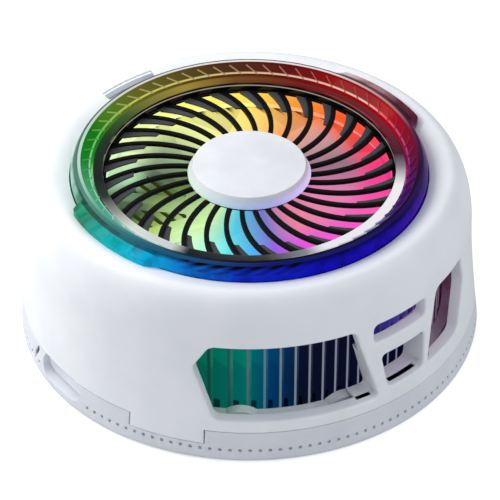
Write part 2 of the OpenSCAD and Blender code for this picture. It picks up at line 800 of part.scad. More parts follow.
module led_board() color("darkgreen")
    ring(ring_foot_r, well_r - part_gap * 2, well_z, led_z);

module ring_leds() color("white") for (i = [0 : led_count - 1]) rotate([0, 0, (i + 0.5) * 360 / led_count])
    translate([led_circle_r - led_w / 2, -led_w / 2, led_z]) cube([led_w, led_w, led_h]);

function lug_swell(a) = let (s = min(1, (lug_half - abs(a)) / lug_blend)) s * s * (3 - 2 * s);

module ring_lug(az) {
    skirt_r = ring_top_r + merge;
    skirt_z = crown_z - part_gap * 3;
    intersection() {
        rotate_extrude() polygon([
            [skirt_r - merge * 2, skirt_z], [lug_r, skirt_z], [lug_r, skirt_z + lug_edge_h],
            [ring_top_r, ring_top_z - ring_edge], [skirt_r - merge * 2, ring_top_z - ring_edge]
        ]);
        rotate([0, 0, az - 90]) linear_extrude(ring_top_z * 2) polygon(concat([[0, 0]],
            [for (i = [0 : lug_steps]) let (
                a = lug_half * (2 * i / lug_steps - 1),
                r = skirt_r + (lug_r - skirt_r) * lug_swell(a)
            ) [r * cos(a), r * sin(a)]]));
    }
}

module light_ring() color("deepskyblue", 0.6) difference() {
    union() {
        rotate_extrude() polygon([
            [ring_foot_r, led_z], [ring_r, led_z],
            [ring_r, ring_top_z - ring_slope_h], [ring_top_r, ring_top_z - ring_edge],
            [ring_top_r - ring_edge, ring_top_z], [liner_r, ring_top_z],
            [liner_r, ring_top_z - ring_lip], [liner_r + liner_t, ring_top_z - ring_lip],
            [liner_r + liner_t - liner_drop_r, liner_ledge_z], [liner_r - liner_drop_r, liner_ledge_z],
            [ring_foot_r, ring_wall_z]
        ]);
        for (az = [-90, 90]) ring_lug(az);
    }
    ring(led_circle_r - led_groove_w / 2, led_circle_r + led_groove_w / 2, led_z - through, led_groove_z);
}

// Radius of the liner's face at height z
function liner_face_r(z) = liner_r - liner_drop_r * (liner_ledge_z + liner_h - z) / liner_h;

module ribbed_liner() color("maroon") {
    liner_z0 = liner_ledge_z + liner_gap;
    liner_z1 = liner_ledge_z + liner_h - liner_gap;
    liner_back = liner_t - liner_gap * norm([liner_drop_r, liner_h]) / liner_h;
    rotate_extrude() polygon([
        [liner_face_r(liner_z0), liner_z0], [liner_face_r(liner_z1), liner_z1],
        [liner_face_r(liner_z1) + liner_back, liner_z1], [liner_face_r(liner_z0) + liner_back, liner_z0]
    ]);
}

module liner_ribs() color("mistyrose") {
    rib_w = 0.15;
    rib_lean = -50;
    rib_share = 0.85;
    rib_tilt = atan(liner_drop_r / liner_h);
    rib_l = rib_share * liner_h / cos(rib_lean) / cos(rib_tilt);
    rib_off = (liner_gap + rib_w / 2) / cos(rib_tilt);
    for (i = [0 : rib_count - 1]) rotate([0, 0, i * 360 / rib_count])
        translate([liner_face_r(liner_ledge_z + liner_h / 2) - rib_off, 0, liner_ledge_z + liner_h / 2])
            rotate([rib_lean, rib_tilt, 0]) cube([rib_w, rib_w, rib_l], center = true);
}

module bezel_ring() color("silver") rotate_extrude() polygon([
    [bezel_r0, grille_ring_z], [bezel_r1, grille_ring_z], [bezel_r1, bezel_top_z - bezel_chamfer],
    [bezel_r1 - bezel_chamfer, bezel_top_z], [bezel_r0 + bezel_chamfer, bezel_top_z],
    [bezel_r0, bezel_top_z - bezel_chamfer]
]);

module vane_outline() polygon(concat(
    [for (r = radii(vane_r0, vane_r1)) polar(r, sweep(r))],
    reversed([for (r = radii(vane_r0, vane_r1)) polar(r, sweep(r) + wide_angle(r, vane_t))])
));

// Plate beside a vane, narrower at its stepped inner end
module side_plate_outline() polygon(concat(
    [for (r = radii(side_plate_r, vane_r1)) polar(r, sweep(r) + wide_angle(r, vane_t / 2))],
    reversed([for (r = radii(side_plate_r, vane_r1)) polar(r, sweep(r) + wide_angle(r, plate_reach(r)))])
));

module grille() color("black") {
    disc(grille_hub_r, vane_z, vane_top_z);
    ring(bezel_r0 - grille_ring_t, bezel_r1, well_z, grille_ring_z);
    for (i = [0 : vane_count - 1]) rotate([0, 0, i * 360 / vane_count]) {
        translate([0, 0, vane_z]) linear_extrude(vane_h) vane_outline();
        translate([0, 0, vane_z]) linear_extrude(vane_h / 2) side_plate_outline();
    }
}

module hub_cap() color("white") rotate_extrude() polygon([
    [0, vane_top_z], [cap_d / 2, vane_top_z], [cap_d / 2, vane_top_z + cap_edge],
    [cap_d / 2 - cap_bevel, vane_top_z + cap_h], [0, vane_top_z + cap_h]
]);

base_tray();
contact_pad();
cold_plate();
magnet_segments();
magnet_yoke();
cold_ceramic();
cooler_legs();
hot_ceramic();
cooler_leads();
heat_sink();
clamp_screws();
insulation_collar();
control_board();
board_parts();
usb_shell();
usb_tongue();
indicator_lens();
outer_shell();
case_screws();
motor_base();
bearing_sleeve();
stator_core();
motor_coils();
motor_board();
motor_shaft();
rotor_magnet();
rotor_yoke();
fan_impeller();
led_board();
ring_leds();
light_ring();
ribbed_liner();
liner_ribs();
bezel_ring();
grille();
hub_cap();
status_bar();
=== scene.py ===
from math import atan2, cos, degrees, hypot, pi, radians, sin, sqrt, tan

import bmesh
import bpy
from mathutils import Matrix, Vector


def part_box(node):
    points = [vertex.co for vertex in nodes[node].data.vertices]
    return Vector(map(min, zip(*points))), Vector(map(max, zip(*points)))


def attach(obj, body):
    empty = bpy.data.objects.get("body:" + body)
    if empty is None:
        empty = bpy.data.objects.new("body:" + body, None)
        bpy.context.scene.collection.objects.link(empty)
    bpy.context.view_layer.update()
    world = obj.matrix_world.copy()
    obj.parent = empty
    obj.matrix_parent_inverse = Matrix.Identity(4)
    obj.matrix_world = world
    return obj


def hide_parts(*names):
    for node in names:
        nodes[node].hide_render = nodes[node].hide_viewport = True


# Magnetic phone cooling fan, dressed for a studio picture. Lengths are metres, and the origin is
# under the middle of the contact pad. An azimuth is measured from the front (-Y) towards +X.
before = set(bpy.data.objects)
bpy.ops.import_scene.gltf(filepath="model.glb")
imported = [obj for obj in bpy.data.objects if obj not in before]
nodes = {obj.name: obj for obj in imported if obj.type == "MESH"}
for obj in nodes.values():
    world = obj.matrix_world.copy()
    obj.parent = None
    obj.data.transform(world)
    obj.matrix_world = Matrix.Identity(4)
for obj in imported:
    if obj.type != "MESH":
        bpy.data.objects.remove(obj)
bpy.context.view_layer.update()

MM = 0.001
SIDES = (0, 180)

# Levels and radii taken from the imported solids
CROWN_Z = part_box("outer_shell")[1].z
SEAM_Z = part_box("base_tray")[1].z
TRAY_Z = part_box("base_tray")[0].z
RING_TOP_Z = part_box("light_ring")[1].z
BEZEL_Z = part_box("bezel_ring")[0].z
BEZEL_TOP_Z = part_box("bezel_ring")[1].z
BEZEL_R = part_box("bezel_ring")[1].x
FINS_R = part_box("heat_sink")[1].y
MOTOR_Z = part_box("motor_base")[0].z
GRILLE_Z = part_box("grille")[0].z
CAP_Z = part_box("hub_cap")[0].z
CAP_TOP_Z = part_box("hub_cap")[1].z
CAP_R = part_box("hub_cap")[1].x
RING_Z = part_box("light_ring")[0].z
WELL_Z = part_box("led_board")[0].z

# Case wall
CASE_R = 33 * MM
WAIST_R = 31.45 * MM
CROWN_R = 27.95 * MM
RIM_R = 25.2 * MM
WIDE_Z = 1 * MM
SHOULDER_Z = 18 * MM
RIM_Z = CROWN_Z - 0.9 * MM
WALL_POWER = 1.4
WALL_T = 1.75 * MM
SPIGOT_R0 = 29.7 * MM
SPIGOT_R1 = 30.7 * MM
SPIGOT_Z = 1.3 * MM
TRAY_BORE_R = 30.9 * MM
PAD_HOLE_R = 20 * MM
FLOOR_Z = 1.2 * MM
SEAM_GAP = 0.1 * MM
INTAKE_R = 20.8 * MM
WELL_FLOOR_T = 1.2 * MM
HOLLOW_R0 = 26.6 * MM
HOLLOW_R1 = 27.4 * MM
HOLLOW_Z = WELL_Z + 1.3 * MM
LEDGE_Z = 5.6 * MM
SHELL_STEPS = 360
DISC_STEPS = 180
HUB_STEPS = 96

# Tabs of the shell that reach down into the tray
TAB_Z = 2.9 * MM
TAB_AZ = (-71, -52)
TAB_LIP = 0.08 * MM

# Vents, as (azimuth, height above the sill in millimetres), up the left end and down the right
SILL_Z = 6.6 * MM
VENT_H = 12.1
SLOT_H = 3
BAR_H = 2.5
WINDOW_TOP = VENT_H - SLOT_H - BAR_H
WINDOW_SILL = 0.9
WIDE_VENT = ((-49.8, 0.1), (-55.2, 8.3), (-50.8, VENT_H), (-14, VENT_H), (-7.5, 0.1))
NARROW_VENT = ((8.9, WINDOW_SILL), (13.8, VENT_H), (27.4, VENT_H), (30.2, 7.4), (24, WINDOW_SILL))
TOP_SLOT = ((-8.6, VENT_H - SLOT_H), (-8.6, VENT_H), (8.8, VENT_H), (8.8, VENT_H - SLOT_H))
SMALL_WINDOW = ((-4.6, WINDOW_SILL), (-6.4, WINDOW_TOP), (8.3, WINDOW_TOP), (7.3, WINDOW_SILL))
VENT_CORNER = 0.8 * MM
VENT_LIP = 0.4 * MM
FRAME_AZ = (-13, 12)
FRAME_T = 3 * MM
FRAME_Z0 = SILL_Z - 0.3 * MM
FRAME_Z1 = SILL_Z + 7.6 * MM
VENT_CUT = FRAME_T + 1.5 * MM

# Radius on which outlines for the wall are drawn flat, halfway from the waist to the vents' foot
VENT_FOOT_R = 32.3 * MM
FACE_R = (WAIST_R + VENT_FOOT_R) / 2

# Port, indicator and screws
PORT_AZ = -95
PORT_Z = 3.4 * MM
PORT_W = 9.44 * MM
PORT_H = 3.66 * MM
INDICATOR_AZ = -107
INDICATOR_Z = 3.5 * MM
INDICATOR_L = 2.3 * MM
INDICATOR_W = 0.7 * MM
INDICATOR_LEAN = -63
PORT_R0 = 24 * MM
INDICATOR_R0 = 28 * MM
PAST_WALL_R = 35 * MM
BOSS_AZ = (68, 118, -68, -118)
BOSS_R = 28.4 * MM
BOSS_BODY_R = 1.7 * MM
BOSS_H = 6.7 * MM
BOSS_MID_Z = 4.65 * MM
SCREW_HOLES = ((0.7 * MM, 1 * MM), (1.4 * MM, -0.2 * MM))
SCREW_HOLE_H = 2 * MM

# Pits around the tray, one face in three of a row of 450
PIT_Z = 2.1 * MM
PIT_W = 0.48 * MM
PIT_DEPTH = 0.4 * MM
TRAY_STEPS = 450

# Status bar on the crown
BAR_HALF = 9.5
BAR_R0 = 26.25 * MM
BAR_R1 = 27.65 * MM
BAR_DEPTH = 0.7 * MM

# Grille
VANES = 30
VANE_T = 0.7
VANE_R0 = 8.0
VANE_R1 = 20.45
VANE_TOP_Z = CAP_Z
VANE_H = 0.5 * MM
PLATE_R = 16.2
PLATE_W = 1.2
PLATE_TAPER = 0.45
INNER_R = 20.05 * MM
VANE_STEPS = 12
VANE_MID_R = 14.8
VANE_START = 0.3
VANE_LEAN = 1.64
VANE_CURL = 0.05
HUB_DISC_R = CAP_R - 0.4 * MM

# Heat sink
FIN_PITCH = 1.8 * MM

# Heights and radii, in millimetres, between which a finish, or the light and shade painted on it, changes
SKIRT_FOOT = (25.0, 25.3)
FACET_TOP = (26.6, 27.2)
LUG_FACE = (25.0, 25.2)
TOP_RIM = (23.94, 24.02)
LINER_FOOT = (26.5, 26.62)
GLOW_EDGE = (13.5, 18.0)
INTAKE_EDGE = (21.0, 21.3)
BAR_MARGIN = (27.15, 27.25)
FIN_UPPER = (11.6, 12.4)
FIN_END = (FINS_R / MM - 0.14, FINS_R / MM - 0.06)
FIN_INNER = (24.0, 25.5)
FIN_LIT = (MOTOR_Z / MM - 1.0, MOTOR_Z / MM - 0.5)
BEZEL_FACE = (BEZEL_TOP_Z / MM - 0.4, BEZEL_TOP_Z / MM - 0.2)
BEZEL_HIGHLIGHT_LINE = BEZEL_TOP_Z / MM - 0.75
BEZEL_WELL = (VANE_TOP_Z / MM - 0.4, VANE_TOP_Z / MM - 0.3)
CAP_SIDE = (CAP_Z / MM + 0.4, CAP_TOP_Z / MM - 0.2)


def wall_r(z):
    """Radius of the case's outer wall at height z, up to the shoulder."""
    share = max(0.0, (SHOULDER_Z - z) / (SHOULDER_Z - WIDE_Z))
    return WAIST_R + (CASE_R - WAIST_R) * share ** WALL_POWER


def wall_line(z0, z1, steps):
    heights = [z0 + (z1 - z0) * i / steps for i in range(steps + 1)]
    return [(wall_r(z), z) for z in heights]


def arc(centre, radius, start, finish, steps=5):
    """Points of an arc in a (radius, height) outline, angles in degrees."""
    turns = [radians(start + (finish - start) * i / steps) for i in range(steps + 1)]
    return [(centre[0] + radius * cos(a), centre[1] + radius * sin(a)) for a in turns]


# Meshes

def spun(bm, outline, steps):
    """Adds an outline of (radius, height) points, spun once round Z."""
    rim = [bm.verts.new((r, 0, z)) for r, z in outline]
    edges = [bm.edges.new(pair) for pair in zip(rim, rim[1:])]
    if outline[0][0] > 0:
        edges.append(bm.edges.new((rim[-1], rim[0])))
    bmesh.ops.spin(bm, geom=rim + edges, cent=(0, 0, 0), axis=(0, 0, 1), angle=2 * pi,
                   steps=steps, use_merge=True)


def sector(bm, outline, az0, az1, steps):
    """Adds a solid: an outline of (radius, height) points spun from azimuth az0 to az1."""
    start = Matrix.Rotation(radians(az0 - 90), 4, "Z")
    rim = [bm.verts.new(start @ Vector((r, 0, z))) for r, z in outline]
    face = bm.faces.new(rim)
    bmesh.ops.spin(bm, geom=[face, *face.edges, *rim], cent=(0, 0, 0), axis=(0, 0, 1),
                   angle=radians(az1 - az0), steps=steps)


def band(r0, r1, z0, z1):
    return [(r0, z0), (r1, z0), (r1, z1), (r0, z1)]


def tidy(bm):
    """Closes seams and poles and turns every face outwards."""
    bmesh.ops.remove_doubles(bm, verts=bm.verts, dist=1e-6)
    bmesh.ops.recalc_face_normals(bm, faces=bm.faces)


def merge_into(bm, other):
    """Moves the other bmesh's shape into bm."""
    scratch = bpy.data.meshes.new("scratch")
    other.to_mesh(scratch)
    other.free()
    bm.from_mesh(scratch)
    bpy.data.meshes.remove(scratch)


def rounded_plate(corners, corner_r, depth):
    """A flat plate in the XZ plane with round corners, from y = 0 to y = depth."""
    bm = bmesh.new()
    rim = [bm.verts.new((x, 0, z)) for x, z in corners]
    bm.faces.new(rim)
    if corner_r:
        bmesh.ops.bevel(bm, geom=rim, offset=corner_r, offset_type="OFFSET", segments=6, profile=0.5,
                        affect="VERTICES", material=-1)
    bm.faces.ensure_lookup_table()
    grown = bmesh.ops.extrude_face_region(bm, geom=[bm.faces[0]], use_keep_orig=True)
    moved = [v for v in grown["geom"] if isinstance(v, bmesh.types.BMVert)]
    bmesh.ops.translate(bm, verts=moved, vec=(0, depth, 0))
    bmesh.ops.recalc_face_normals(bm, faces=bm.faces)
    return bm


def wall_cutter(corners, corner_r, depth, lip, az=0):
    """A cutter that goes through the wall. Its outline is drawn flat as (azimuth, height), flared by
    lip at the outer face, sliced into narrow strips and then wrapped round the wall."""
    out = 1.2 * MM
    strip = 1 * MM
    bm = rounded_plate([(radians(a) * FACE_R, z) for a, z in corners], corner_r, depth - lip)
    bmesh.ops.translate(bm, verts=bm.verts, vec=(0, lip, 0))
    face = min(bm.faces, key=lambda f: f.calc_center_median().y)
    steps = 5
    turns = [radians(80 * i / steps) for i in range(steps + 1)]
    for a, b in zip(turns, turns[1:]):
        bmesh.ops.inset_region(bm, faces=[face], use_even_offset=True, use_boundary=True,
                               thickness=-lip * (cos(a) - cos(b)), depth=lip * (sin(b) - sin(a)))
    bmesh.ops.inset_region(bm, faces=[face], use_even_offset=True, use_boundary=True,
                           thickness=-0.001 * MM, depth=out)
    us = [v.co.x for v in bm.verts]
    for k in range(int(min(us) / strip), int(max(us) / strip) + 1):
        bmesh.ops.bisect_plane(bm, geom=[*bm.verts, *bm.edges, *bm.faces], plane_co=(k * strip, 0, 0),
                               plane_no=(1, 0, 0), dist=1e-7)
    for v in bm.verts:
        u, inward, z = v.co
        turn = u / FACE_R + radians(az)
        r = wall_r(z) - inward
        v.co = (r * sin(turn), -r * cos(turn), z)
    return bm


def straight_cutter(width, height, z, az, r0, r1, lean=0):
    """A slot with round ends, pushed straight out along az from radius r0 to r1."""
    w, h = width / 2, height / 2
    bm = rounded_plate([(-w, -h), (w, -h), (w, h), (-w, h)], h * 0.999, r1 - r0)
    place = (Matrix.Rotation(radians(az), 4, "Z") @ Matrix.Translation((0, -r1, z))
             @ Matrix.Rotation(radians(lean), 4, "Y"))
    bmesh.ops.transform(bm, matrix=place, verts=bm.verts)
    return bm


def new_object(name, bm):
    mesh = bpy.data.meshes.new(name)
    bm.to_mesh(mesh)
    bm.free()
    obj = bpy.data.objects.new(name, mesh)
    bpy.context.scene.collection.objects.link(obj)
    return obj


def carve(bm, cutters):
    """The shape of bm with the cutters' shapes taken away, as a new bmesh."""
    block = new_object("block", bm)
    tools = [new_object("cutter", cutter) for cutter in cutters]
    for tool in tools:
        cut = block.modifiers.new("cut", "BOOLEAN")
        cut.operation = "DIFFERENCE"
        cut.solver = "EXACT"
        cut.object = tool
    result = bmesh.new()
    result.from_object(block, bpy.context.evaluated_depsgraph_get())
    for obj in (block, *tools):
        bpy.data.objects.remove(obj)
    bmesh.ops.dissolve_degenerate(result, edges=result.edges, dist=1e-7)
    return result


def piece(name, bm, finishes, stands_for, sharp=32):
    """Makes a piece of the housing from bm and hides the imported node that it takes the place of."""
    obj = new_object(name, bm)
    obj.data.shade_smooth()
    obj.data.set_sharp_from_angle(angle=radians(sharp))
    for finish in finishes:
        obj.data.materials.append(finish)
    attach(obj, "housing")
    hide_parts(stands_for)
    return obj


# Shader node groups

def new_group(name, inputs, outputs):
    group = bpy.data.node_groups.new(name, "ShaderNodeTree")
    for label, value in inputs.items():
        socket = group.interface.new_socket(label, in_out="INPUT", socket_type="NodeSocketFloat")
        socket.default_value = value
    for label in outputs:
        group.interface.new_socket(label, in_out="OUTPUT", socket_type="NodeSocketFloat")
    return group, group.nodes.new("NodeGroupInput"), group.nodes.new("NodeGroupOutput")


def node(tree, kind, **settings):
    """Adds a node; a setting named in_0, in_1... fills that input, any other is a property."""
    made = tree.nodes.new(kind)
    for key, value in settings.items():
        if not key.startswith("in_"):
            setattr(made, key, value)
    for key, value in settings.items():
        if key.startswith("in_"):
            wire(tree, value, made.inputs[int(key[3:])])
    return made


def wire(tree, source, socket):
    """Links an output to a socket, or sets the socket where the source is a plain value."""
    if isinstance(source, bpy.types.NodeSocket):
        tree.links.new(source, socket)
    else:
        socket.default_value = source


def maths(tree, operation, a, b=0.0, clamp=False):
    made = node(tree, "ShaderNodeMath", operation=operation, use_clamp=clamp, in_0=a, in_1=b)
    return made.outputs[0]


def make_polar_place():
    """Where a point lies around Z, or around an axis that leans away from Z below the grille by Lean X
    and Lean Y: Turn from 0 to 1, and Radius and Height in mm."""
    group, given, result = new_group("Polar place", {"Lean X": 0.0, "Lean Y": 0.0},
                                     ("Turn", "Radius", "Height"))
    point = node(group, "ShaderNodeTexCoord")
    split = node(group, "ShaderNodeSeparateXYZ", in_0=point.outputs["Object"])
    depth = maths(group, "SUBTRACT", VANE_TOP_Z / MM, maths(group, "DIVIDE", split.outputs[2], MM))
    across = [maths(group, "SUBTRACT", maths(group, "DIVIDE", split.outputs[i], MM),
                    maths(group, "MULTIPLY", given.outputs[i], depth)) for i in (0, 1)]
    angle = maths(group, "ARCTAN2", across[1], across[0])
    turn = maths(group, "FRACT", maths(group, "DIVIDE", angle, 2 * pi))
    squares = [maths(group, "MULTIPLY", side, side) for side in across]
    wire(group, turn, result.inputs["Turn"])
    wire(group, maths(group, "SQRT", maths(group, "ADD", *squares)), result.inputs["Radius"])
    wire(group, maths(group, "DIVIDE", split.outputs[2], MM), result.inputs["Height"])
    return group


def make_moulded_skin():
    """Moulded or cast surface: Tone for the colour, Gloss change, and a fine Grain height."""
    group, given, result = new_group("Moulded skin", {"Grain size": 0.1, "Blotch size": 6.0},
                                     ("Tone", "Gloss", "Grain"))
    point = node(group, "ShaderNodeTexCoord")
    sizes = [maths(group, "DIVIDE", 1 / MM, given.outputs[i]) for i in (0, 1)]
    fine = node(group, "ShaderNodeTexNoise", in_0=point.outputs["Object"], in_2=sizes[0], in_3=2.0)
    broad = node(group, "ShaderNodeTexNoise", in_0=point.outputs["Object"], in_2=sizes[1], in_3=3.0)
    wire(group, broad.outputs[0], result.inputs["Tone"])
    smear = maths(group, "MULTIPLY", broad.outputs[0], fine.outputs[0])
    wire(group, maths(group, "ADD", maths(group, "MULTIPLY", smear, 0.6), 0.85), result.inputs["Gloss"])
    wire(group, fine.outputs[0], result.inputs["Grain"])
    return group


def make_brushed_skin():
    """Turned or brushed metal: fine lines round the axis, with a Tone and a Grain height."""
    group, given, result = new_group("Brushed skin", {"Line size": 0.12}, ("Tone", "Grain"))
    place = node(group, "ShaderNodeGroup", node_tree=polar_place)
    key = node(group, "ShaderNodeCombineXYZ", in_0=maths(group, "MULTIPLY", place.outputs["Turn"], 6.0),
               in_1=maths(group, "DIVIDE", place.outputs["Radius"], given.outputs[0]),
               in_2=maths(group, "DIVIDE", place.outputs["Height"], given.outputs[0]))
    lines = node(group, "ShaderNodeTexNoise", in_0=key.outputs[0], in_2=1.0, in_3=3.0)
    wire(group, lines.outputs[0], result.inputs["Tone"])
    wire(group, lines.outputs[0], result.inputs["Grain"])
    return group


polar_place = make_polar_place()
moulded_skin = make_moulded_skin()
brushed_skin = make_brushed_skin()


# Finishes

def colour(text):
    """A linear colour from a hex colour such as F4F4F8."""
    parts = [int(text[i:i + 2], 16) / 255 for i in (0, 2, 4)]
    return (*[p / 12.92 if p <= 0.04045 else ((p + 0.055) / 1.055) ** 2.4 for p in parts], 1.0)


def new_finish(name):
    finish = bpy.data.materials.new(name)
    finish.use_nodes = True
    return finish, finish.node_tree, finish.node_tree.nodes["Principled BSDF"]


def ramp(tree, source, stops):
    """A colour ramp of (position, hex colour) stops."""
    made = node(tree, "ShaderNodeValToRGB", in_0=source)
    elements = made.color_ramp.elements
    for place, text in stops[1:-1]:
        elements.new(place).color = colour(text)
    for element, (place, text) in zip((elements[0], elements[-1]), (stops[0], stops[-1])):
        element.position = place
        element.color = colour(text)
    return made.outputs[0]


def mix(tree, share, a, b, blend="MIX"):
    made = node(tree, "ShaderNodeMix", data_type="RGBA", blend_type=blend)
    for source, socket in ((share, made.inputs[0]), (a, made.inputs[6]), (b, made.inputs[7])):
        wire(tree, source, socket)
    return made.outputs[2]


def fade(tree, source, low, high):
    """0 below low, 1 above high, and smooth between."""
    made = node(tree, "ShaderNodeMapRange", interpolation_type="SMOOTHSTEP",
                in_0=source, in_1=low, in_2=high)
    return made.outputs[0]


def flipped(tree, share):
    """1 where share is 0, and 0 where it is 1."""
    return maths(tree, "SUBTRACT", 1.0, share)


def place_in(tree, lean=(0.0, 0.0)):
    return node(tree, "ShaderNodeGroup", node_tree=polar_place, in_0=lean[0], in_1=lean[1]).outputs


def add_skin(tree, shader, rough, grain, size=0.1, blotch=6.0):
    """Gives a shader the moulded skin's gloss change and grain, and returns its tone."""
    skin = node(tree, "ShaderNodeGroup", node_tree=moulded_skin, in_0=size, in_1=blotch)
    wire(tree, maths(tree, "MULTIPLY", skin.outputs["Gloss"], rough), shader.inputs["Roughness"])
    bump = node(tree, "ShaderNodeBump", in_0=grain, in_1=0.05 * MM)
    wire(tree, skin.outputs["Grain"], bump.inputs["Height"])
    wire(tree, bump.outputs[0], shader.inputs["Normal"])
    return skin.outputs["Tone"]


def moulded(name, light, dark, rough, grain=0.05, size=0.1, coat=0.0, metal=0.0, shine=0.5, blotch=6.0):
    """Plastic, ceramic, foam or cast metal between two close colours."""
    finish, tree, shader = new_finish(name)
    tone = add_skin(tree, shader, rough, grain, size, blotch)
    wire(tree, ramp(tree, tone, ((0.35, dark), (0.65, light))), shader.inputs["Base Color"])
    shader.inputs["Metallic"].default_value = metal
    shader.inputs["Specular IOR Level"].default_value = shine
    shader.inputs["Coat Weight"].default_value = coat
    shader.inputs["Coat Roughness"].default_value = 0.08
    return finish


def turned(name, light, dark, rough, line=0.12):
    """Turned or drawn metal with lines round the axis."""
    finish, tree, shader = new_finish(name)
    skin = node(tree, "ShaderNodeGroup", node_tree=brushed_skin, in_0=line)
    wire(tree, ramp(tree, skin.outputs["Tone"], ((0.3, dark), (0.7, light))), shader.inputs["Base Color"])
    gloss = maths(tree, "ADD", maths(tree, "MULTIPLY", skin.outputs["Tone"], 0.2), rough)
    wire(tree, gloss, shader.inputs["Roughness"])
    bump = node(tree, "ShaderNodeBump", in_0=0.1, in_1=0.02 * MM)
    wire(tree, skin.outputs["Grain"], bump.inputs["Height"])
    wire(tree, bump.outputs[0], shader.inputs["Normal"])
    shader.inputs["Metallic"].default_value = 1.0
    return finish


def by_turn(*stops):
    """Ramp stops from (angle in degrees from +X, hex colour) pairs, joined at the ends."""
    turns = sorted((angle % 360 / 360, text) for angle, text in stops)
    return [(0.0, turns[0][1])] + [t for t in turns if t[0] > 0] + [(1.0, turns[0][1])]


# Colours by the angle round the axis: the ring's own light on each lit face, and light and reflections
# painted on the fins, fan well, bezel and cap
# Black, for painted shade on the ring's faces
PAINTED_SHADE = ((0.0, "000000"), (0.5, "020204"), (1.0, "000000"))
SKIRT_LIGHT = by_turn(
    (352, "601028"), (8, "A87880"), (18, "E8D8D8"), (45, "F0E8E0"), (90, "D0D8C0"), (130, "A8D8C0"),
    (152, "98D0C0"), (160, "40A880"), (170, "089070"), (185, "08B8C0"), (196, "08A8D8"), (208, "0870C8"),
    (226, "0828B8"), (250, "0808B0"), (275, "1800A0"), (300, "300088"), (325, "480068"), (345, "581028"))
FACET_LIGHT = by_turn(
    (350, "B80410"), (15, "980808"), (35, "601010"), (60, "503018"), (95, "686820"), (110, "508020"),
    (122, "107810"), (138, "088018"), (160, "48A878"), (185, "30B0A8"), (205, "1088B8"), (225, "2048B0"),
    (255, "080890"), (285, "280870"), (315, "500040"), (332, "800828"))
LINE_LIGHT = by_turn(
    (350, "F06068"), (20, "F0C8B8"), (60, "E0C880"), (95, "D0D060"), (120, "60C858"), (150, "98E0A8"),
    (170, "A0D8C8"), (200, "1090B8"), (225, "2048B0"), (270, "202098"), (310, "581888"))
RIB_LIGHT = by_turn(
    (345, "A02830"), (10, "A83838"), (40, "A08068"), (80, "B0A060"), (108, "98B060"), (130, "309830"),
    (155, "58A080"), (185, "C8C8C8"), (200, "B0B8B8"), (207, "181820"), (238, "303030"), (258, "D8D8E0"),
    (276, "B0A8C0"), (285, "482870"), (305, "481058"), (325, "802040"))
EDGE_LIGHT = by_turn(
    (10, "483838"), (60, "505050"), (120, "586860"), (165, "509880"), (195, "206080"), (235, "101870"),
    (275, "180860"), (320, "300848"), (345, "580820"))
TOP_LIGHT = by_turn(
    (0, "C89898"), (22, "E8E0E0"), (50, "F0F0F0"), (95, "D8D8D0"), (125, "C0E0D0"), (145, "C0E0D0"),
    (170, "68A890"), (190, "387878"), (208, "082840"), (230, "080810"), (285, "080410"), (315, "280830"),
    (335, "582848"))
BEZEL_REFLECTION = by_turn(
    (345, "780820"), (30, "700808"), (55, "704810"), (75, "A08830"), (92, "787828"), (106, "385820"),
    (122, "103010"), (148, "081810"), (160, "283028"), (170, "909890"), (182, "E0E8E0"), (200, "D0D8D8"),
    (206, "101418"), (235, "383838"), (250, "888890"), (257, "F0F0F8"), (306, "F8F8F8"), (318, "887888"),
    (326, "381020"))
GLOW = by_turn(
    (345, "FF4048"), (5, "FF5820"), (28, "F89830"), (50, "FFE058"), (85, "F8FF88"), (115, "E8F8B8"),
    (142, "C0F0C0"), (154, "486848"), (169, "485840"), (182, "B0C868"), (200, "D0F8C0"), (218, "68E0E0"),
    (230, "48B0E8"), (240, "9058E0"), (255, "E850D8"), (290, "F058B0"), (320, "F03888"))
HUB_GLOW = by_turn(
    (330, "906C80"), (0, "C89898"), (22, "F0A060"), (50, "F8E078"), (85, "E8F0A0"), (118, "88A080"),
    (142, "485848"), (160, "688040"), (185, "B0D090"), (203, "C8F0A8"), (220, "50C8E0"), (240, "7078C8"),
    (258, "E88098"), (295, "E080B0"))
FIN_SHADE = (
    (0, "280820"), (45, "381808"), (90, "383808"), (135, "184810"), (200, "085838"), (244, "081028"),
    (315, "381838"))
FIN_LIGHT = by_turn(
    *FIN_SHADE, (218, "007058"), (228, "007868"), (235, "004070"), (264, "080820"), (272, "302880"),
    (278, "403890"), (286, "301868"), (298, "502858"))
FIN_LOW_LIGHT = by_turn(
    *FIN_SHADE, (218, "006050"), (228, "006860"), (235, "003868"), (282, "080820"), (292, "402048"))
FIN_EDGE_LIGHT = by_turn(
    (0, "584850"), (90, "585848"), (180, "185840"), (222, "084038"), (232, "487880"), (245, "808898"),
    (282, "8888A0"), (295, "887890"), (320, "706068"))
CAP_SIDE_PAINTED_LIGHT = by_turn(
    (0, "D8C8E8"), (90, "F0F0D8"), (150, "D8E8D8"), (210, "D0E0F0"), (255, "B8B8E8"), (300, "C0B0F0"))
CAP_SIDE_PAINTED_GLOW = by_turn(
    (0, "C8B8D8"), (90, "808078"), (180, "98A0A0"), (225, "8098B0"), (252, "98A0D0"), (276, "D0C8F8"),
    (310, "F0E8FF"))


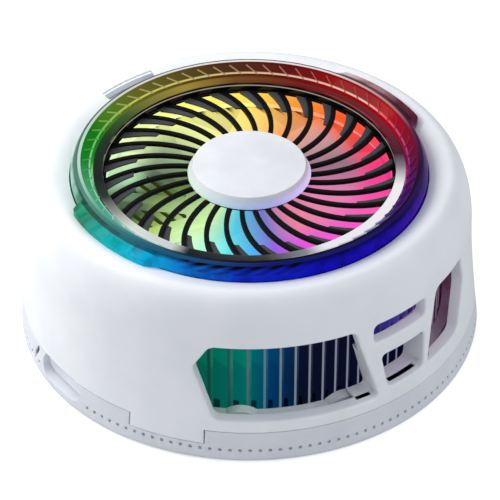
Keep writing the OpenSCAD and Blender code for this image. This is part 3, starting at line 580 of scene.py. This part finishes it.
def lit(name, light, strength, rough=0.12, base=("040406", "0A0A0E"), share=None, other=PAINTED_SHADE,
        cloud="FFFFFF"):
    """Clear plastic that carries the lights: a rainbow round the axis, and another where share is low, black
    by default for painted shade.
    A darker cloud gives it uneven depth."""
    finish, tree, shader = new_finish(name)
    place = place_in(tree)
    glow = ramp(tree, place["Turn"], light)
    if share:
        glow = mix(tree, share(tree, place), ramp(tree, place["Turn"], other), glow)
    tone = add_skin(tree, shader, rough, 0.02, size=0.3, blotch=2.5)
    wire(tree, ramp(tree, tone, ((0.3, base[0]), (0.7, base[1]))), shader.inputs["Base Color"])
    depth = ramp(tree, tone, ((0.36, cloud), (0.56, "FFFFFF")))
    wire(tree, mix(tree, 1.0, glow, depth, "MULTIPLY"), shader.inputs["Emission Color"])
    shader.inputs["Emission Strength"].default_value = strength
    shader.inputs["Specular IOR Level"].default_value = 0.03
    shader.inputs["Coat Weight"].default_value = 0.02
    shader.inputs["Coat Roughness"].default_value = 0.05
    return finish


def slanted_ribs(tree, place):
    """Painted shadows of the slanted ribs seen through the outer facet along the front, and painted shade
    towards the facet's top; none on the lugs.
    """
    ribs = 60
    lean = -1.1
    front_start, front_end = (0.57, 0.59), 0.7
    rib_shade, top_shade = 0.45, 0.75
    run = maths(tree, "ADD", maths(tree, "MULTIPLY", place["Turn"], ribs),
                maths(tree, "MULTIPLY", place["Height"], lean))
    wave = maths(tree, "SINE", maths(tree, "MULTIPLY", run, 2 * pi))
    front = maths(tree, "MULTIPLY", fade(tree, place["Turn"], *front_start),
                  fade(tree, maths(tree, "SUBTRACT", front_end, place["Turn"]), 0.0, 0.03))
    shade = maths(tree, "MULTIPLY", flipped(tree, fade(tree, wave, -0.3, 0.5)), front)
    # Painted shade towards the top of the facet
    deep = fade(tree, place["Height"], *FACET_TOP)
    lug = fade(tree, place["Radius"], *LUG_FACE)
    dark = maths(tree, "ADD", maths(tree, "MULTIPLY", shade, rib_shade),
                 maths(tree, "MULTIPLY", deep, top_shade), clamp=True)
    return maths(tree, "ADD", flipped(tree, dark), lug, clamp=True)


def skirt_foot_shade(tree, place):
    """Painted shade at the foot of the skirt, where it meets the crown."""
    return fade(tree, place["Height"], *SKIRT_FOOT)


def inside_rim(tree, place):
    """The ring's flat top inside the thin line along its outer edge."""
    return flipped(tree, fade(tree, place["Radius"], *TOP_RIM))


def above_line(tree, place):
    """The liner's face above the bright line along its foot."""
    return fade(tree, place["Height"], *LINER_FOOT)


def make_well_glow():
    """Painted light of the fan well: a rainbow round an axis that leans back below the grille, greyer
    within.
    """
    lean = (0.84, 0.97)
    group, _, result = new_group("Well glow", {}, ())
    group.interface.new_socket("Glow", in_out="OUTPUT", socket_type="NodeSocketColor")
    place = place_in(group, lean)
    rainbow = [ramp(group, place["Turn"], light) for light in (HUB_GLOW, GLOW)]
    wire(group, mix(group, fade(group, place["Radius"], *GLOW_EDGE), *rainbow), result.inputs["Glow"])
    return group


well_glow = make_well_glow()


def well_light(tree):
    return node(tree, "ShaderNodeGroup", node_tree=well_glow).outputs["Glow"]


def fin_end_highlight(tree, place, high):
    """A painted highlight line down the near side of each fin's outer end, but not behind the slots over the
    windows.
    """
    slot_start, slot_end = (0.737, 0.743), (0.79, 0.796)
    slot = maths(tree, "SUBTRACT", fade(tree, place["Turn"], *slot_start),
                 fade(tree, place["Turn"], *slot_end))
    end = fade(tree, place["Radius"], *FIN_END)
    end = maths(tree, "MULTIPLY", end, flipped(tree, maths(tree, "MULTIPLY", slot, high)))
    point = node(tree, "ShaderNodeTexCoord")
    split = node(tree, "ShaderNodeSeparateXYZ", in_0=point.outputs["Object"])
    across = maths(tree, "ADD", maths(tree, "MULTIPLY", split.outputs["X"], 1 / FIN_PITCH), 0.5)
    near_side = flipped(tree, fade(tree, maths(tree, "FRACT", across), 0.48, 0.5))
    return maths(tree, "MULTIPLY", end, near_side)


def lit_metal(name):
    """Bare aluminium fins with the lights painted on them as a glow: lower and upper fins differ, a painted
    highlight line at each outer end, and the well's painted light on the inner fins.
    """
    finish, tree, shader = new_finish(name)
    place = place_in(tree)
    tone = add_skin(tree, shader, 0.38, 0.05)
    wire(tree, ramp(tree, tone, ((0.3, "22262C"), (0.7, "3A3F46"))), shader.inputs["Base Color"])
    shader.inputs["Metallic"].default_value = 1.0
    high = fade(tree, place["Height"], *FIN_UPPER)
    around = mix(tree, high, ramp(tree, place["Turn"], FIN_LOW_LIGHT), ramp(tree, place["Turn"], FIN_LIGHT))
    around = mix(tree, fin_end_highlight(tree, place, high), around, ramp(tree, place["Turn"], FIN_EDGE_LIGHT))
    inside = maths(tree, "MULTIPLY", flipped(tree, fade(tree, place["Radius"], *FIN_INNER)),
                   fade(tree, place["Height"], *FIN_LIT))
    wire(tree, mix(tree, inside, around, well_light(tree)), shader.inputs["Emission Color"])
    shader.inputs["Emission Strength"].default_value = 0.85
    return finish


def lit_blades(name):
    """Frosted plastic for the blades and the wall of the fan well, with the ring's light painted into its
    colour and as a glow.
    """
    finish, tree, shader = new_finish(name)
    glow = well_light(tree)
    add_skin(tree, shader, 0.4, 0.03)
    wire(tree, mix(tree, 0.9, glow, colour("202020")), shader.inputs["Base Color"])
    wire(tree, glow, shader.inputs["Emission Color"])
    shader.inputs["Emission Strength"].default_value = 1.0
    shader.inputs["Specular IOR Level"].default_value = 0.1
    return finish


def shell_finish():
    """White plastic, with the fan well's light painted as a glow on the edge of its intake."""
    finish = moulded("white_shell", "F2F2F4", "EDEEF1", 0.38, grain=0.04, coat=0.15)
    tree = finish.node_tree
    shader = tree.nodes["Principled BSDF"]
    outside = fade(tree, place_in(tree)["Radius"], *INTAKE_EDGE)
    wire(tree, mix(tree, outside, well_light(tree), colour("000000")), shader.inputs["Emission Color"])
    shader.inputs["Emission Strength"].default_value = 0.8
    return finish


def bar_finish():
    """Grey translucent bar with a white outer margin."""
    finish = moulded("grey_bar", "A2A6B0", "8E929C", 0.4, coat=0.3)
    tree = finish.node_tree
    socket = tree.nodes["Principled BSDF"].inputs["Base Color"]
    margin = fade(tree, place_in(tree)["Radius"], *BAR_MARGIN)
    wire(tree, mix(tree, margin, socket.links[0].from_socket, colour("F0F0F2")), socket)
    return finish


def pale(name, light, dark, rough, glow):
    """Pale plastic deep in an opening, with a painted glow in its own colour."""
    finish = moulded(name, light, dark, rough)
    shader = finish.node_tree.nodes["Principled BSDF"]
    wire(finish.node_tree, shader.inputs["Base Color"].links[0].from_socket, shader.inputs["Emission Color"])
    shader.inputs["Emission Strength"].default_value = glow
    return finish


white_shell = shell_finish()
white_tray = moulded("white_tray", "E2E3E9", "DCDDE4", 0.4, grain=0.04, coat=0.1)
black_vane = moulded("black_vane", "060607", "030304", 0.55, grain=0.06, shine=0.1)
grey_plate = moulded("grey_plate", "4A4A4C", "404042", 0.55, grain=0.06, shine=0.1)
finishes = {
    "contact_pad": moulded("thermal_pad", "AEB2B8", "9CA0A8", 0.75, grain=0.3, size=0.25),
    "cold_plate": turned("bare_aluminium", "C8CACE", "A8ABB2", 0.22),
    "magnet_segments": moulded("nickel_magnet", "A8A49C", "8E8A84", 0.25, metal=1.0),
    "magnet_yoke": moulded("yoke_steel", "8C9096", "767A82", 0.32, metal=1.0),
    "cold_ceramic": moulded("cold_ceramic", "F0EEE8", "E2E0DA", 0.5, size=0.05),
    "hot_ceramic": moulded("hot_ceramic", "EEECE6", "E0DED8", 0.5, size=0.05),
    "cooler_legs": moulded("cooler_legs", "4A4A50", "303036", 0.4, metal=0.8, size=0.3),
    "cooler_leads": moulded("lead_cover", "B01E1E", "901616", 0.45),
    "heat_sink": lit_metal("lit_fins"),
    "clamp_screws": turned("clamp_steel", "B4B6BA", "8C8E94", 0.2),
    "insulation_collar": moulded("white_foam", "F4F4F2", "DEDEDE", 0.85, grain=0.6, size=0.35),
    "control_board": moulded("board_mask", "14502E", "0C3A20", 0.35, size=0.6, coat=0.4),
    "board_parts": moulded("chip_resin", "18181A", "101012", 0.55, size=0.05),
    # The socket's parts carry a painted glow
    "usb_shell": pale("socket_steel", "D2D4DA", "C8CAD0", 0.3, 0.35),
    "usb_tongue": pale("socket_tongue", "D6D8DE", "CCCED4", 0.45, 0.45),
    "indicator_lens": moulded("dark_lens", "2A2C34", "202228", 0.3, coat=0.2),
    "case_screws": turned("screw_steel", "B4B6BA", "8C8E94", 0.2),
    "motor_base": moulded("motor_black", "1E1E20", "141416", 0.5),
    "bearing_sleeve": moulded("bronze", "A8763C", "86592A", 0.35, metal=1.0),
    "stator_core": moulded("stator_iron", "707276", "56585E", 0.4, metal=1.0),
    "motor_coils": moulded("copper_wire", "B8672E", "8A4A1E", 0.3, metal=1.0, grain=0.4, size=0.2),
    "motor_board": moulded("motor_board_mask", "14502E", "0C3A20", 0.35, size=0.6, coat=0.4),
    "motor_shaft": turned("shaft_steel", "D0D2D6", "B0B2B8", 0.1),
    "rotor_magnet": moulded("ferrite", "26262A", "1A1A1E", 0.6, size=0.15),
    "rotor_yoke": turned("yoke_cup", "A4A6AC", "84868C", 0.25),
    "fan_impeller": lit_blades("frosted_blades"),
    "led_board": moulded("light_board_mask", "E8E8EA", "D8D8DC", 0.4, size=0.6),
    "ring_leds": lit("light_emitter", GLOW, 1.5, rough=0.3, base=("707070", "808080")),
    "ribbed_liner": lit("tinted_liner", FACET_LIGHT, 0.9, share=above_line, other=LINE_LIGHT),
    "liner_ribs": lit("pale_ribs", RIB_LIGHT, 0.9),
    "status_bar": bar_finish(),
}


# Shell

def shoulder(steps):
    """The ellipse from the top of the wall to the crown."""
    turns = [radians(90 * i / steps) for i in range(1, steps + 1)]
    return [(CROWN_R + (WAIST_R - CROWN_R) * cos(a), SHOULDER_Z + (CROWN_Z - SHOULDER_Z) * sin(a))
            for a in turns]


def crown_fall(steps):
    """The dip from the crown to the edge of the ring well."""
    shares = [i / steps for i in range(1, steps + 1)]
    return [(CROWN_R + (RIM_R - CROWN_R) * s, CROWN_Z - (CROWN_Z - RIM_Z) * s ** WALL_POWER)
            for s in shares]


def shell_outline():
    inner = [(r - WALL_T, z) for r, z in reversed(wall_line(LEDGE_Z, SHOULDER_Z, 10))]
    return [
        (SPIGOT_R0, SPIGOT_Z), (SPIGOT_R1, SPIGOT_Z), (SPIGOT_R1, TAB_Z),
        *wall_line(TAB_Z, SHOULDER_Z, 24), *shoulder(24), *crown_fall(8),
        (RIM_R, WELL_Z), (INTAKE_R, WELL_Z), (INTAKE_R, WELL_Z - WELL_FLOOR_T),
        (HOLLOW_R0, WELL_Z - WELL_FLOOR_T), (HOLLOW_R0, HOLLOW_Z), (HOLLOW_R1, HOLLOW_Z),
        *inner, (SPIGOT_R0, LEDGE_Z),
    ]


def vent_cutters():
    made = []
    for side in SIDES:
        for corners in (WIDE_VENT, NARROW_VENT, TOP_SLOT, SMALL_WINDOW):
            outline = [(az, SILL_Z + h * MM) for az, h in corners]
            made.append(wall_cutter(outline, VENT_CORNER, VENT_CUT, VENT_LIP, side))
    return made


def port_cutters():
    slit = straight_cutter(INDICATOR_L, INDICATOR_W, INDICATOR_Z, INDICATOR_AZ, INDICATOR_R0, PAST_WALL_R,
                           INDICATOR_LEAN)
    return [straight_cutter(PORT_W, PORT_H, PORT_Z, PORT_AZ, PORT_R0, PAST_WALL_R), slit]


def seam_cutters():
    """Takes away the wall under the seam, between the two tabs."""
    deep = 1.85 * MM
    low, high = TAB_Z - 1 * MM, SEAM_Z + SEAM_GAP
    outline = ((TAB_AZ[1], low), (TAB_AZ[1], high), (TAB_AZ[0] + 180, high), (TAB_AZ[0] + 180, low))
    return [wall_cutter(outline, 0, deep, TAB_LIP, side) for side in SIDES]


def add_post(bm, az, radius, height, middle_z):
    """Adds an upright cylinder on the screws' circle."""
    place = Matrix.Rotation(radians(az), 4, "Z") @ Matrix.Translation((0, -BOSS_R, middle_z))
    bmesh.ops.create_cone(bm, cap_ends=True, segments=32, radius1=radius, radius2=radius, depth=height,
                          matrix=place)


def make_shell():
    body = bmesh.new()
    spun(body, shell_outline(), SHELL_STEPS)
    tidy(body)
    pocket = bmesh.new()
    sector(pocket, band(BAR_R0, BAR_R1, CROWN_Z - BAR_DEPTH, CROWN_Z + 2 * MM),
           180 - BAR_HALF, 180 + BAR_HALF, int(2 * BAR_HALF))
    bmesh.ops.recalc_face_normals(pocket, faces=pocket.faces)
    shell = carve(body, [*vent_cutters(), *seam_cutters(), *port_cutters(), pocket])
    frames = bmesh.new()
    for side in SIDES:
        sector(frames, band(WAIST_R - FRAME_T, CASE_R - WALL_T, FRAME_Z0, FRAME_Z1),
               side + FRAME_AZ[0], side + FRAME_AZ[1], FRAME_AZ[1] - FRAME_AZ[0])
    tidy(frames)
    merge_into(shell, carve(frames, vent_cutters()))
    for az in BOSS_AZ:
        add_post(shell, az, BOSS_BODY_R, BOSS_H, BOSS_MID_Z)
    return piece("shell", shell, [white_shell], "outer_shell")


# Tray

def tray_outline():
    pit, soft = PIT_W / 2, 0.06 * MM
    foot_w, foot_h = 0.4 * MM, 0.8 * MM
    heights = (WIDE_Z, 1.45 * MM, PIT_Z - pit, PIT_Z + pit, 2.9 * MM, 3.6 * MM, 4.3 * MM, SEAM_Z - soft)
    foot = [(CASE_R - foot_w + foot_w * sin(radians(a)), WIDE_Z - foot_h * cos(radians(a)))
            for a in range(0, 90, 15)]
    return [
        (PAD_HOLE_R, TRAY_Z), *foot, *[(wall_r(z), z) for z in heights], (wall_r(SEAM_Z) - soft, SEAM_Z),
        (TRAY_BORE_R, SEAM_Z), (TRAY_BORE_R, FLOOR_Z), (PAD_HOLE_R, FLOOR_Z),
    ]


def tab_cutters():
    """Room in the tray for the shell's two tabs."""
    spare, deep = 0.3, 2.6 * MM
    low, high = TAB_Z - SEAM_GAP, SEAM_Z + 1 * MM
    left, right = TAB_AZ[0] - spare, TAB_AZ[1] + spare
    outline = ((left, low), (left, high), (right, high), (right, low))
    return [wall_cutter(outline, 0, deep, TAB_LIP, side) for side in SIDES]


def screw_holes():
    holes = bmesh.new()
    for az in BOSS_AZ:
        for radius, z in SCREW_HOLES:
            add_post(holes, az, radius, SCREW_HOLE_H, z)
    return holes


def make_tray():
    body = bmesh.new()
    spun(body, tray_outline(), TRAY_STEPS)
    tidy(body)
    skip = 9
    pits = []
    for face in body.faces:
        x, y, z = face.calc_center_median()
        turn = degrees(atan2(y, x)) % 360
        away = abs((turn + 90 - PORT_AZ + 180) % 360 - 180)
        third = int(turn / 360 * TRAY_STEPS) % 3
        outside = hypot(x, y) > TRAY_BORE_R + 1 * MM
        if outside and abs(z - PIT_Z) < PIT_W / 4 and third == 1 and away > skip:
            pits.append(face)
    bmesh.ops.inset_individual(body, faces=pits, thickness=0.03 * MM, depth=-PIT_DEPTH, use_even_offset=True)
    tray = carve(body, [*tab_cutters(), *port_cutters(), screw_holes()])
    return piece("tray", tray, [white_tray], "base_tray")


# Light ring

RING_R = 25 * MM
RING_SLOPE_Z = RING_TOP_Z - 1.4 * MM
RING_EDGE_R = 24.4 * MM
RING_BORE_R = 23.5 * MM
RING_FOOT_R = 22.05 * MM
LINER_Z = RING_TOP_Z - 1.25 * MM
LUG_R = 26.5 * MM
LUG_FOOT_Z = CROWN_Z - 0.3 * MM
LUG_EDGE_Z = CROWN_Z + 0.5 * MM
LUG_HALF = 21
LUG_BLEND = 5
SKIRT, FACET, TOP, INSIDE, EDGE = range(5)


def ring_outline():
    soft, edge = 0.06 * MM, 0.2 * MM
    lip_z = RING_TOP_Z - 0.25 * MM
    return [
        (RING_FOOT_R, RING_Z), (RING_R, RING_Z), (RING_R, RIM_Z),
        (RING_R, RING_SLOPE_Z - soft), (RING_R - soft / 2, RING_SLOPE_Z + soft),
        (RING_EDGE_R + soft / 2, RING_TOP_Z - edge - soft), (RING_EDGE_R - soft, RING_TOP_Z - edge + soft),
        (RING_EDGE_R - edge, RING_TOP_Z), (RING_BORE_R + soft, RING_TOP_Z), (RING_BORE_R, RING_TOP_Z - soft),
        (RING_BORE_R, lip_z), (RING_BORE_R + 0.5 * MM, lip_z), (RING_BORE_R - 0.85 * MM, LINER_Z),
        (RING_BORE_R - 1.35 * MM, LINER_Z), (RING_FOOT_R, RIM_Z + 0.1 * MM),
    ]


def lug_swell(turn):
    """0 beside a lug and 1 on it, at an angle from +X."""
    off = min(abs((turn - middle + 180) % 360 - 180) for middle in SIDES)
    share = min(1.0, max(0.0, (LUG_HALF - off) / LUG_BLEND))
    return share * share * (3 - 2 * share)


def ring_face(face):
    """Slot of a face of the ring: skirt, outer facet, top, inner facet, or the line along the top's edge."""
    x, y, z = face.calc_center_median()
    r = hypot(x, y)
    if RING_EDGE_R - 0.16 * MM < r < RING_EDGE_R + 0.03 * MM and z > RING_TOP_Z - 0.3 * MM:
        return EDGE
    if face.normal.z > 0.9 and r > RING_BORE_R - 0.2 * MM:
        return TOP
    if r > (RING_R + RING_EDGE_R) / 2 - 0.15 * MM and face.normal.z < 0.2:
        return SKIRT
    if r > RING_EDGE_R - 0.1 * MM:
        return FACET
    return INSIDE


def make_ring():
    ring = bmesh.new()
    spun(ring, ring_outline(), SHELL_STEPS)
    tidy(ring)
    for face in ring.faces:
        face.material_index = ring_face(face)
    lug_places = ((RIM_Z, Vector((LUG_R, LUG_FOOT_Z))), (RING_SLOPE_Z, Vector((LUG_R, LUG_EDGE_Z))))
    for v in ring.verts:
        r = hypot(v.co.x, v.co.y)
        swell = lug_swell(degrees(atan2(v.co.y, v.co.x)))
        for height, goal in lug_places:
            if r > RING_R - 0.05 * MM and abs(v.co.z - height) < 0.2 * MM and swell > 0:
                grown = r + (goal.x - r) * swell
                v.co = (v.co.x * grown / r, v.co.y * grown / r, v.co.z + (goal.y - v.co.z) * swell)
    finish_set = [
        lit("ring_skirt", SKIRT_LIGHT, 1.0, share=skirt_foot_shade, cloud="C4C4C4"),
        lit("ring_facet", SKIRT_LIGHT, 1.0, share=slanted_ribs, cloud="C4C4C4"),
        lit("ring_top", TOP_LIGHT, 0.95, share=inside_rim, other=EDGE_LIGHT),
        lit("ring_inside", FACET_LIGHT, 0.9),
        lit("ring_edge", EDGE_LIGHT, 0.9),
    ]
    return piece("light_ring_clear", ring, finish_set, "light_ring", sharp=25)


# Bezel, grille and cap

def polished_bezel():
    """Polished metal with painted reflections of the lights and the studio on its top, a painted highlight
    line along its inner wall, and the well's painted light below it.
    """
    finish, tree, shader = new_finish("polished_bezel")
    place = place_in(tree)
    # Painted reflections on the top face
    glow = ramp(tree, place["Turn"], BEZEL_REFLECTION)
    skin = node(tree, "ShaderNodeGroup", node_tree=brushed_skin, in_0=0.08)
    tone = skin.outputs["Tone"]
    wire(tree, ramp(tree, tone, ((0.3, "1C1D20"), (0.7, "2A2B2F"))), shader.inputs["Base Color"])
    wire(tree, maths(tree, "ADD", maths(tree, "MULTIPLY", tone, 0.1), 0.08), shader.inputs["Roughness"])
    shader.inputs["Metallic"].default_value = 1.0
    top = fade(tree, place["Height"], *BEZEL_FACE)
    # Painted highlight line along the inner wall, and the well's painted glow below it
    off = maths(tree, "ABSOLUTE", maths(tree, "SUBTRACT", place["Height"], BEZEL_HIGHLIGHT_LINE))
    wall = mix(tree, fade(tree, off, 0.05, 0.14), colour("9C9894"), colour("040404"))
    wall = mix(tree, fade(tree, place["Height"], *BEZEL_WELL), well_light(tree), wall)
    wire(tree, mix(tree, top, wall, glow), shader.inputs["Emission Color"])
    shader.inputs["Emission Strength"].default_value = 0.9
    return finish


def make_bezel():
    bezel = bmesh.new()
    r0, r1, soft = 20.5 * MM, BEZEL_R, 0.2 * MM
    spun(bezel, [
        (r0, BEZEL_Z), (r1, BEZEL_Z),
        *arc((r1 - soft, BEZEL_TOP_Z - soft), soft, 0, 90),
        *arc((r0 + soft, BEZEL_TOP_Z - soft), soft, 90, 180),
    ], SHELL_STEPS)
    tidy(bezel)
    return piece("bezel", bezel, [polished_bezel()], "bezel_ring")


def sweep(r):
    """Degrees by which a vane has swept round at radius r in millimetres."""
    out = r - VANE_MID_R
    return VANE_START + VANE_LEAN * out + VANE_CURL * out ** 2


def beside(r, width):
    """Degrees at radius r that a strip of the given width takes across a vane."""
    slope = radians(r * (VANE_LEAN + 2 * VANE_CURL * (r - VANE_MID_R)))
    return degrees(width / r * sqrt(1 + slope ** 2))


def swept_strip(bm, r0, r1, near, far, top, height, soft, slot):
    """A strip from r0 to r1 whose edges lie near(r) and far(r) degrees beside the swept line."""
    def edge_places(r):
        turns = [radians(sweep(r) + side(r)) for side in (near, far)]
        return [Vector((r * MM * cos(t), r * MM * sin(t), top)) for t in turns]

    strip = bmesh.new()
    edge = strip.edges.new([strip.verts.new(p) for p in edge_places(r0)])
    for i in range(1, VANE_STEPS + 1):
        before = edge_places(r0 + (r1 - r0) * (i - 1) / VANE_STEPS)
        grown = bmesh.ops.extrude_edge_only(strip, edges=[edge])["geom"]
        edge = next(e for e in grown if isinstance(e, bmesh.types.BMEdge))
        verts = sorted(edge.verts, key=lambda v: (v.co - before[0]).length)
        for v, p in zip(verts, edge_places(r0 + (r1 - r0) * i / VANE_STEPS)):
            v.co = p
    sheet = bmesh.ops.extrude_face_region(strip, geom=list(strip.faces), use_keep_orig=True)
    lowered = [v for v in sheet["geom"] if isinstance(v, bmesh.types.BMVert)]
    bmesh.ops.translate(strip, verts=lowered, vec=(0, 0, -height))
    tidy(strip)
    rim = [e for e in strip.edges
           if e.calc_face_angle(0) > radians(60) and min(v.co.z for v in e.verts) > top - 1e-6]
    bmesh.ops.bevel(strip, geom=rim, offset=soft, offset_type="OFFSET", segments=2, profile=0.5,
                    affect="EDGES", material=-1)
    for face in strip.faces:
        face.material_index = slot
    bmesh.ops.spin(strip, geom=[*strip.verts, *strip.edges, *strip.faces], cent=(0, 0, 0), axis=(0, 0, 1),
                   angle=2 * pi * (VANES - 1) / VANES, steps=VANES - 1, use_duplicate=True)
    merge_into(bm, strip)


def make_grille():
    grille = bmesh.new()

    def plate_far(r):
        return beside(r, VANE_T + PLATE_W * (1 - PLATE_TAPER * (VANE_R1 - r) / (VANE_R1 - PLATE_R)))

    vane_soft, plate_soft = 0.1 * MM, 0.06 * MM
    vane, plate, well_wall = range(3)
    swept_strip(grille, VANE_R0, VANE_R1, lambda r: 0, lambda r: beside(r, VANE_T), VANE_TOP_Z, VANE_H,
                vane_soft, vane)
    swept_strip(grille, PLATE_R, VANE_R1, lambda r: beside(r, VANE_T / 2), plate_far,
                VANE_TOP_Z - VANE_H / 2, VANE_H / 2, plate_soft, plate)
    disc = bmesh.new()
    spun(disc, [(0, VANE_TOP_Z), (HUB_DISC_R, VANE_TOP_Z), (HUB_DISC_R, VANE_TOP_Z - VANE_H),
                (0, VANE_TOP_Z - VANE_H)], HUB_STEPS)
    spun(disc, band(INNER_R, BEZEL_R, GRILLE_Z, BEZEL_Z), DISC_STEPS)
    tidy(disc)
    for face in disc.faces:
        middle = face.calc_center_median()
        if middle.to_2d().length > INNER_R - 1 * MM and abs(face.normal.z) < 0.5:
            face.material_index = well_wall
    merge_into(grille, disc)
    finish_set = [black_vane, grey_plate, lit_blades("lit_well_wall")]
    return piece("black_grille", grille, finish_set, "grille")


def cap_finish():
    """White cap whose side has the lights painted on it, in its colour and as a glow."""
    finish, tree, shader = new_finish("white_cap")
    place = place_in(tree)
    tone = add_skin(tree, shader, 0.42, 0.03)
    white = ramp(tree, tone, ((0.35, "DEDFE2"), (0.65, "E8E8EB")))
    # Painted light of the lamps in the side's colour
    tint = ramp(tree, place["Turn"], CAP_SIDE_PAINTED_LIGHT)
    low = flipped(tree, fade(tree, place["Height"], *CAP_SIDE))
    wire(tree, mix(tree, low, white, tint), shader.inputs["Base Color"])
    # and as a painted glow on the side
    shine = ramp(tree, place["Turn"], CAP_SIDE_PAINTED_GLOW)
    wire(tree, mix(tree, low, colour("000000"), shine), shader.inputs["Emission Color"])
    shader.inputs["Emission Strength"].default_value = 0.5
    return finish


def make_cap():
    cap = bmesh.new()
    bevel, edge, soft = 0.75 * MM, 0.2 * MM, 0.12 * MM
    slope = degrees(atan2(bevel, CAP_TOP_Z - CAP_Z - edge))
    crest = (CAP_R - bevel - soft * tan(radians(45 - slope / 2)), CAP_TOP_Z - soft)
    spun(cap, [(0, CAP_Z), (CAP_R, CAP_Z), (CAP_R, CAP_Z + edge), *arc(crest, soft, slope, 90, 5),
               (0, CAP_TOP_Z)], DISC_STEPS)
    tidy(cap)
    return piece("cap", cap, [cap_finish()], "hub_cap")


for name, finish in finishes.items():
    nodes[name].material_slots[0].material = finish

make_shell()
make_tray()
make_ring()
make_bezel()
make_grille()
make_cap()


# Stage, camera and light

def make_floor():
    ground = bmesh.new()
    bmesh.ops.create_grid(ground, x_segments=1, y_segments=1, size=1.5)
    floor = new_object("floor", ground)
    finish, tree, shader = new_finish("pale_floor")
    tone = add_skin(tree, shader, 0.8, 0.0, size=2.0, blotch=60.0)
    wire(tree, ramp(tree, tone, ((0.3, "E6E6E6"), (0.7, "EAEAEA"))), shader.inputs["Base Color"])
    shader.inputs["Emission Color"].default_value = (1, 1, 1, 1)
    seen = node(tree, "ShaderNodeLightPath")
    glow = maths(tree, "MULTIPLY", seen.outputs["Is Camera Ray"], 0.55)
    wire(tree, glow, shader.inputs["Emission Strength"])
    floor.data.materials.append(finish)


def make_camera():
    """Camera at the photograph's angle, with a long lens."""
    azimuth, up, away = radians(-41), radians(38), 0.4
    target = Vector((0, 0, 11.05 * MM))
    back = Vector((sin(azimuth) * cos(up), -cos(azimuth) * cos(up), sin(up)))
    lens = bpy.data.cameras.new("camera")
    lens.lens = 201.2
    lens.sensor_width = 36
    lens.shift_x = 0.0014
    lens.clip_start = 0.01
    camera = bpy.data.objects.new("camera", lens)
    camera.location = target + back * away
    camera.rotation_euler = back.to_track_quat("Z", "Y").to_euler()
    bpy.context.scene.collection.objects.link(camera)
    bpy.context.scene.camera = camera


def add_light(name, azimuth, up, away, size, power, tint=(1, 1, 1)):
    """A round area light that looks at the origin."""
    lamp = bpy.data.lights.new(name, "AREA")
    lamp.shape = "DISK"
    lamp.size = size
    lamp.energy = power
    lamp.color = tint
    holder = bpy.data.objects.new(name, lamp)
    az, el = radians(azimuth), radians(up)
    back = Vector((sin(az) * cos(el), -cos(az) * cos(el), sin(el)))
    holder.location = back * away
    holder.rotation_euler = back.to_track_quat("Z", "Y").to_euler()
    bpy.context.scene.collection.objects.link(holder)


def make_light():
    add_light("key", azimuth=-145, up=48, away=0.15, size=0.1, power=0.138)
    add_light("side", azimuth=30, up=40, away=0.7, size=0.6, power=0.95, tint=(0.93, 0.96, 1.0))
    add_light("fill", azimuth=-105, up=25, away=0.7, size=0.5, power=0.2, tint=(0.96, 0.98, 1.0))
    world = bpy.data.worlds.new("studio")
    world.use_nodes = True
    sky = world.node_tree.nodes["Background"]
    sky.inputs["Color"].default_value = (0.9, 0.95, 1, 1)
    sky.inputs["Strength"].default_value = 0.57
    bpy.context.scene.world = world
    bpy.context.scene.view_settings.view_transform = "Standard"


make_floor()
make_camera()
make_light()
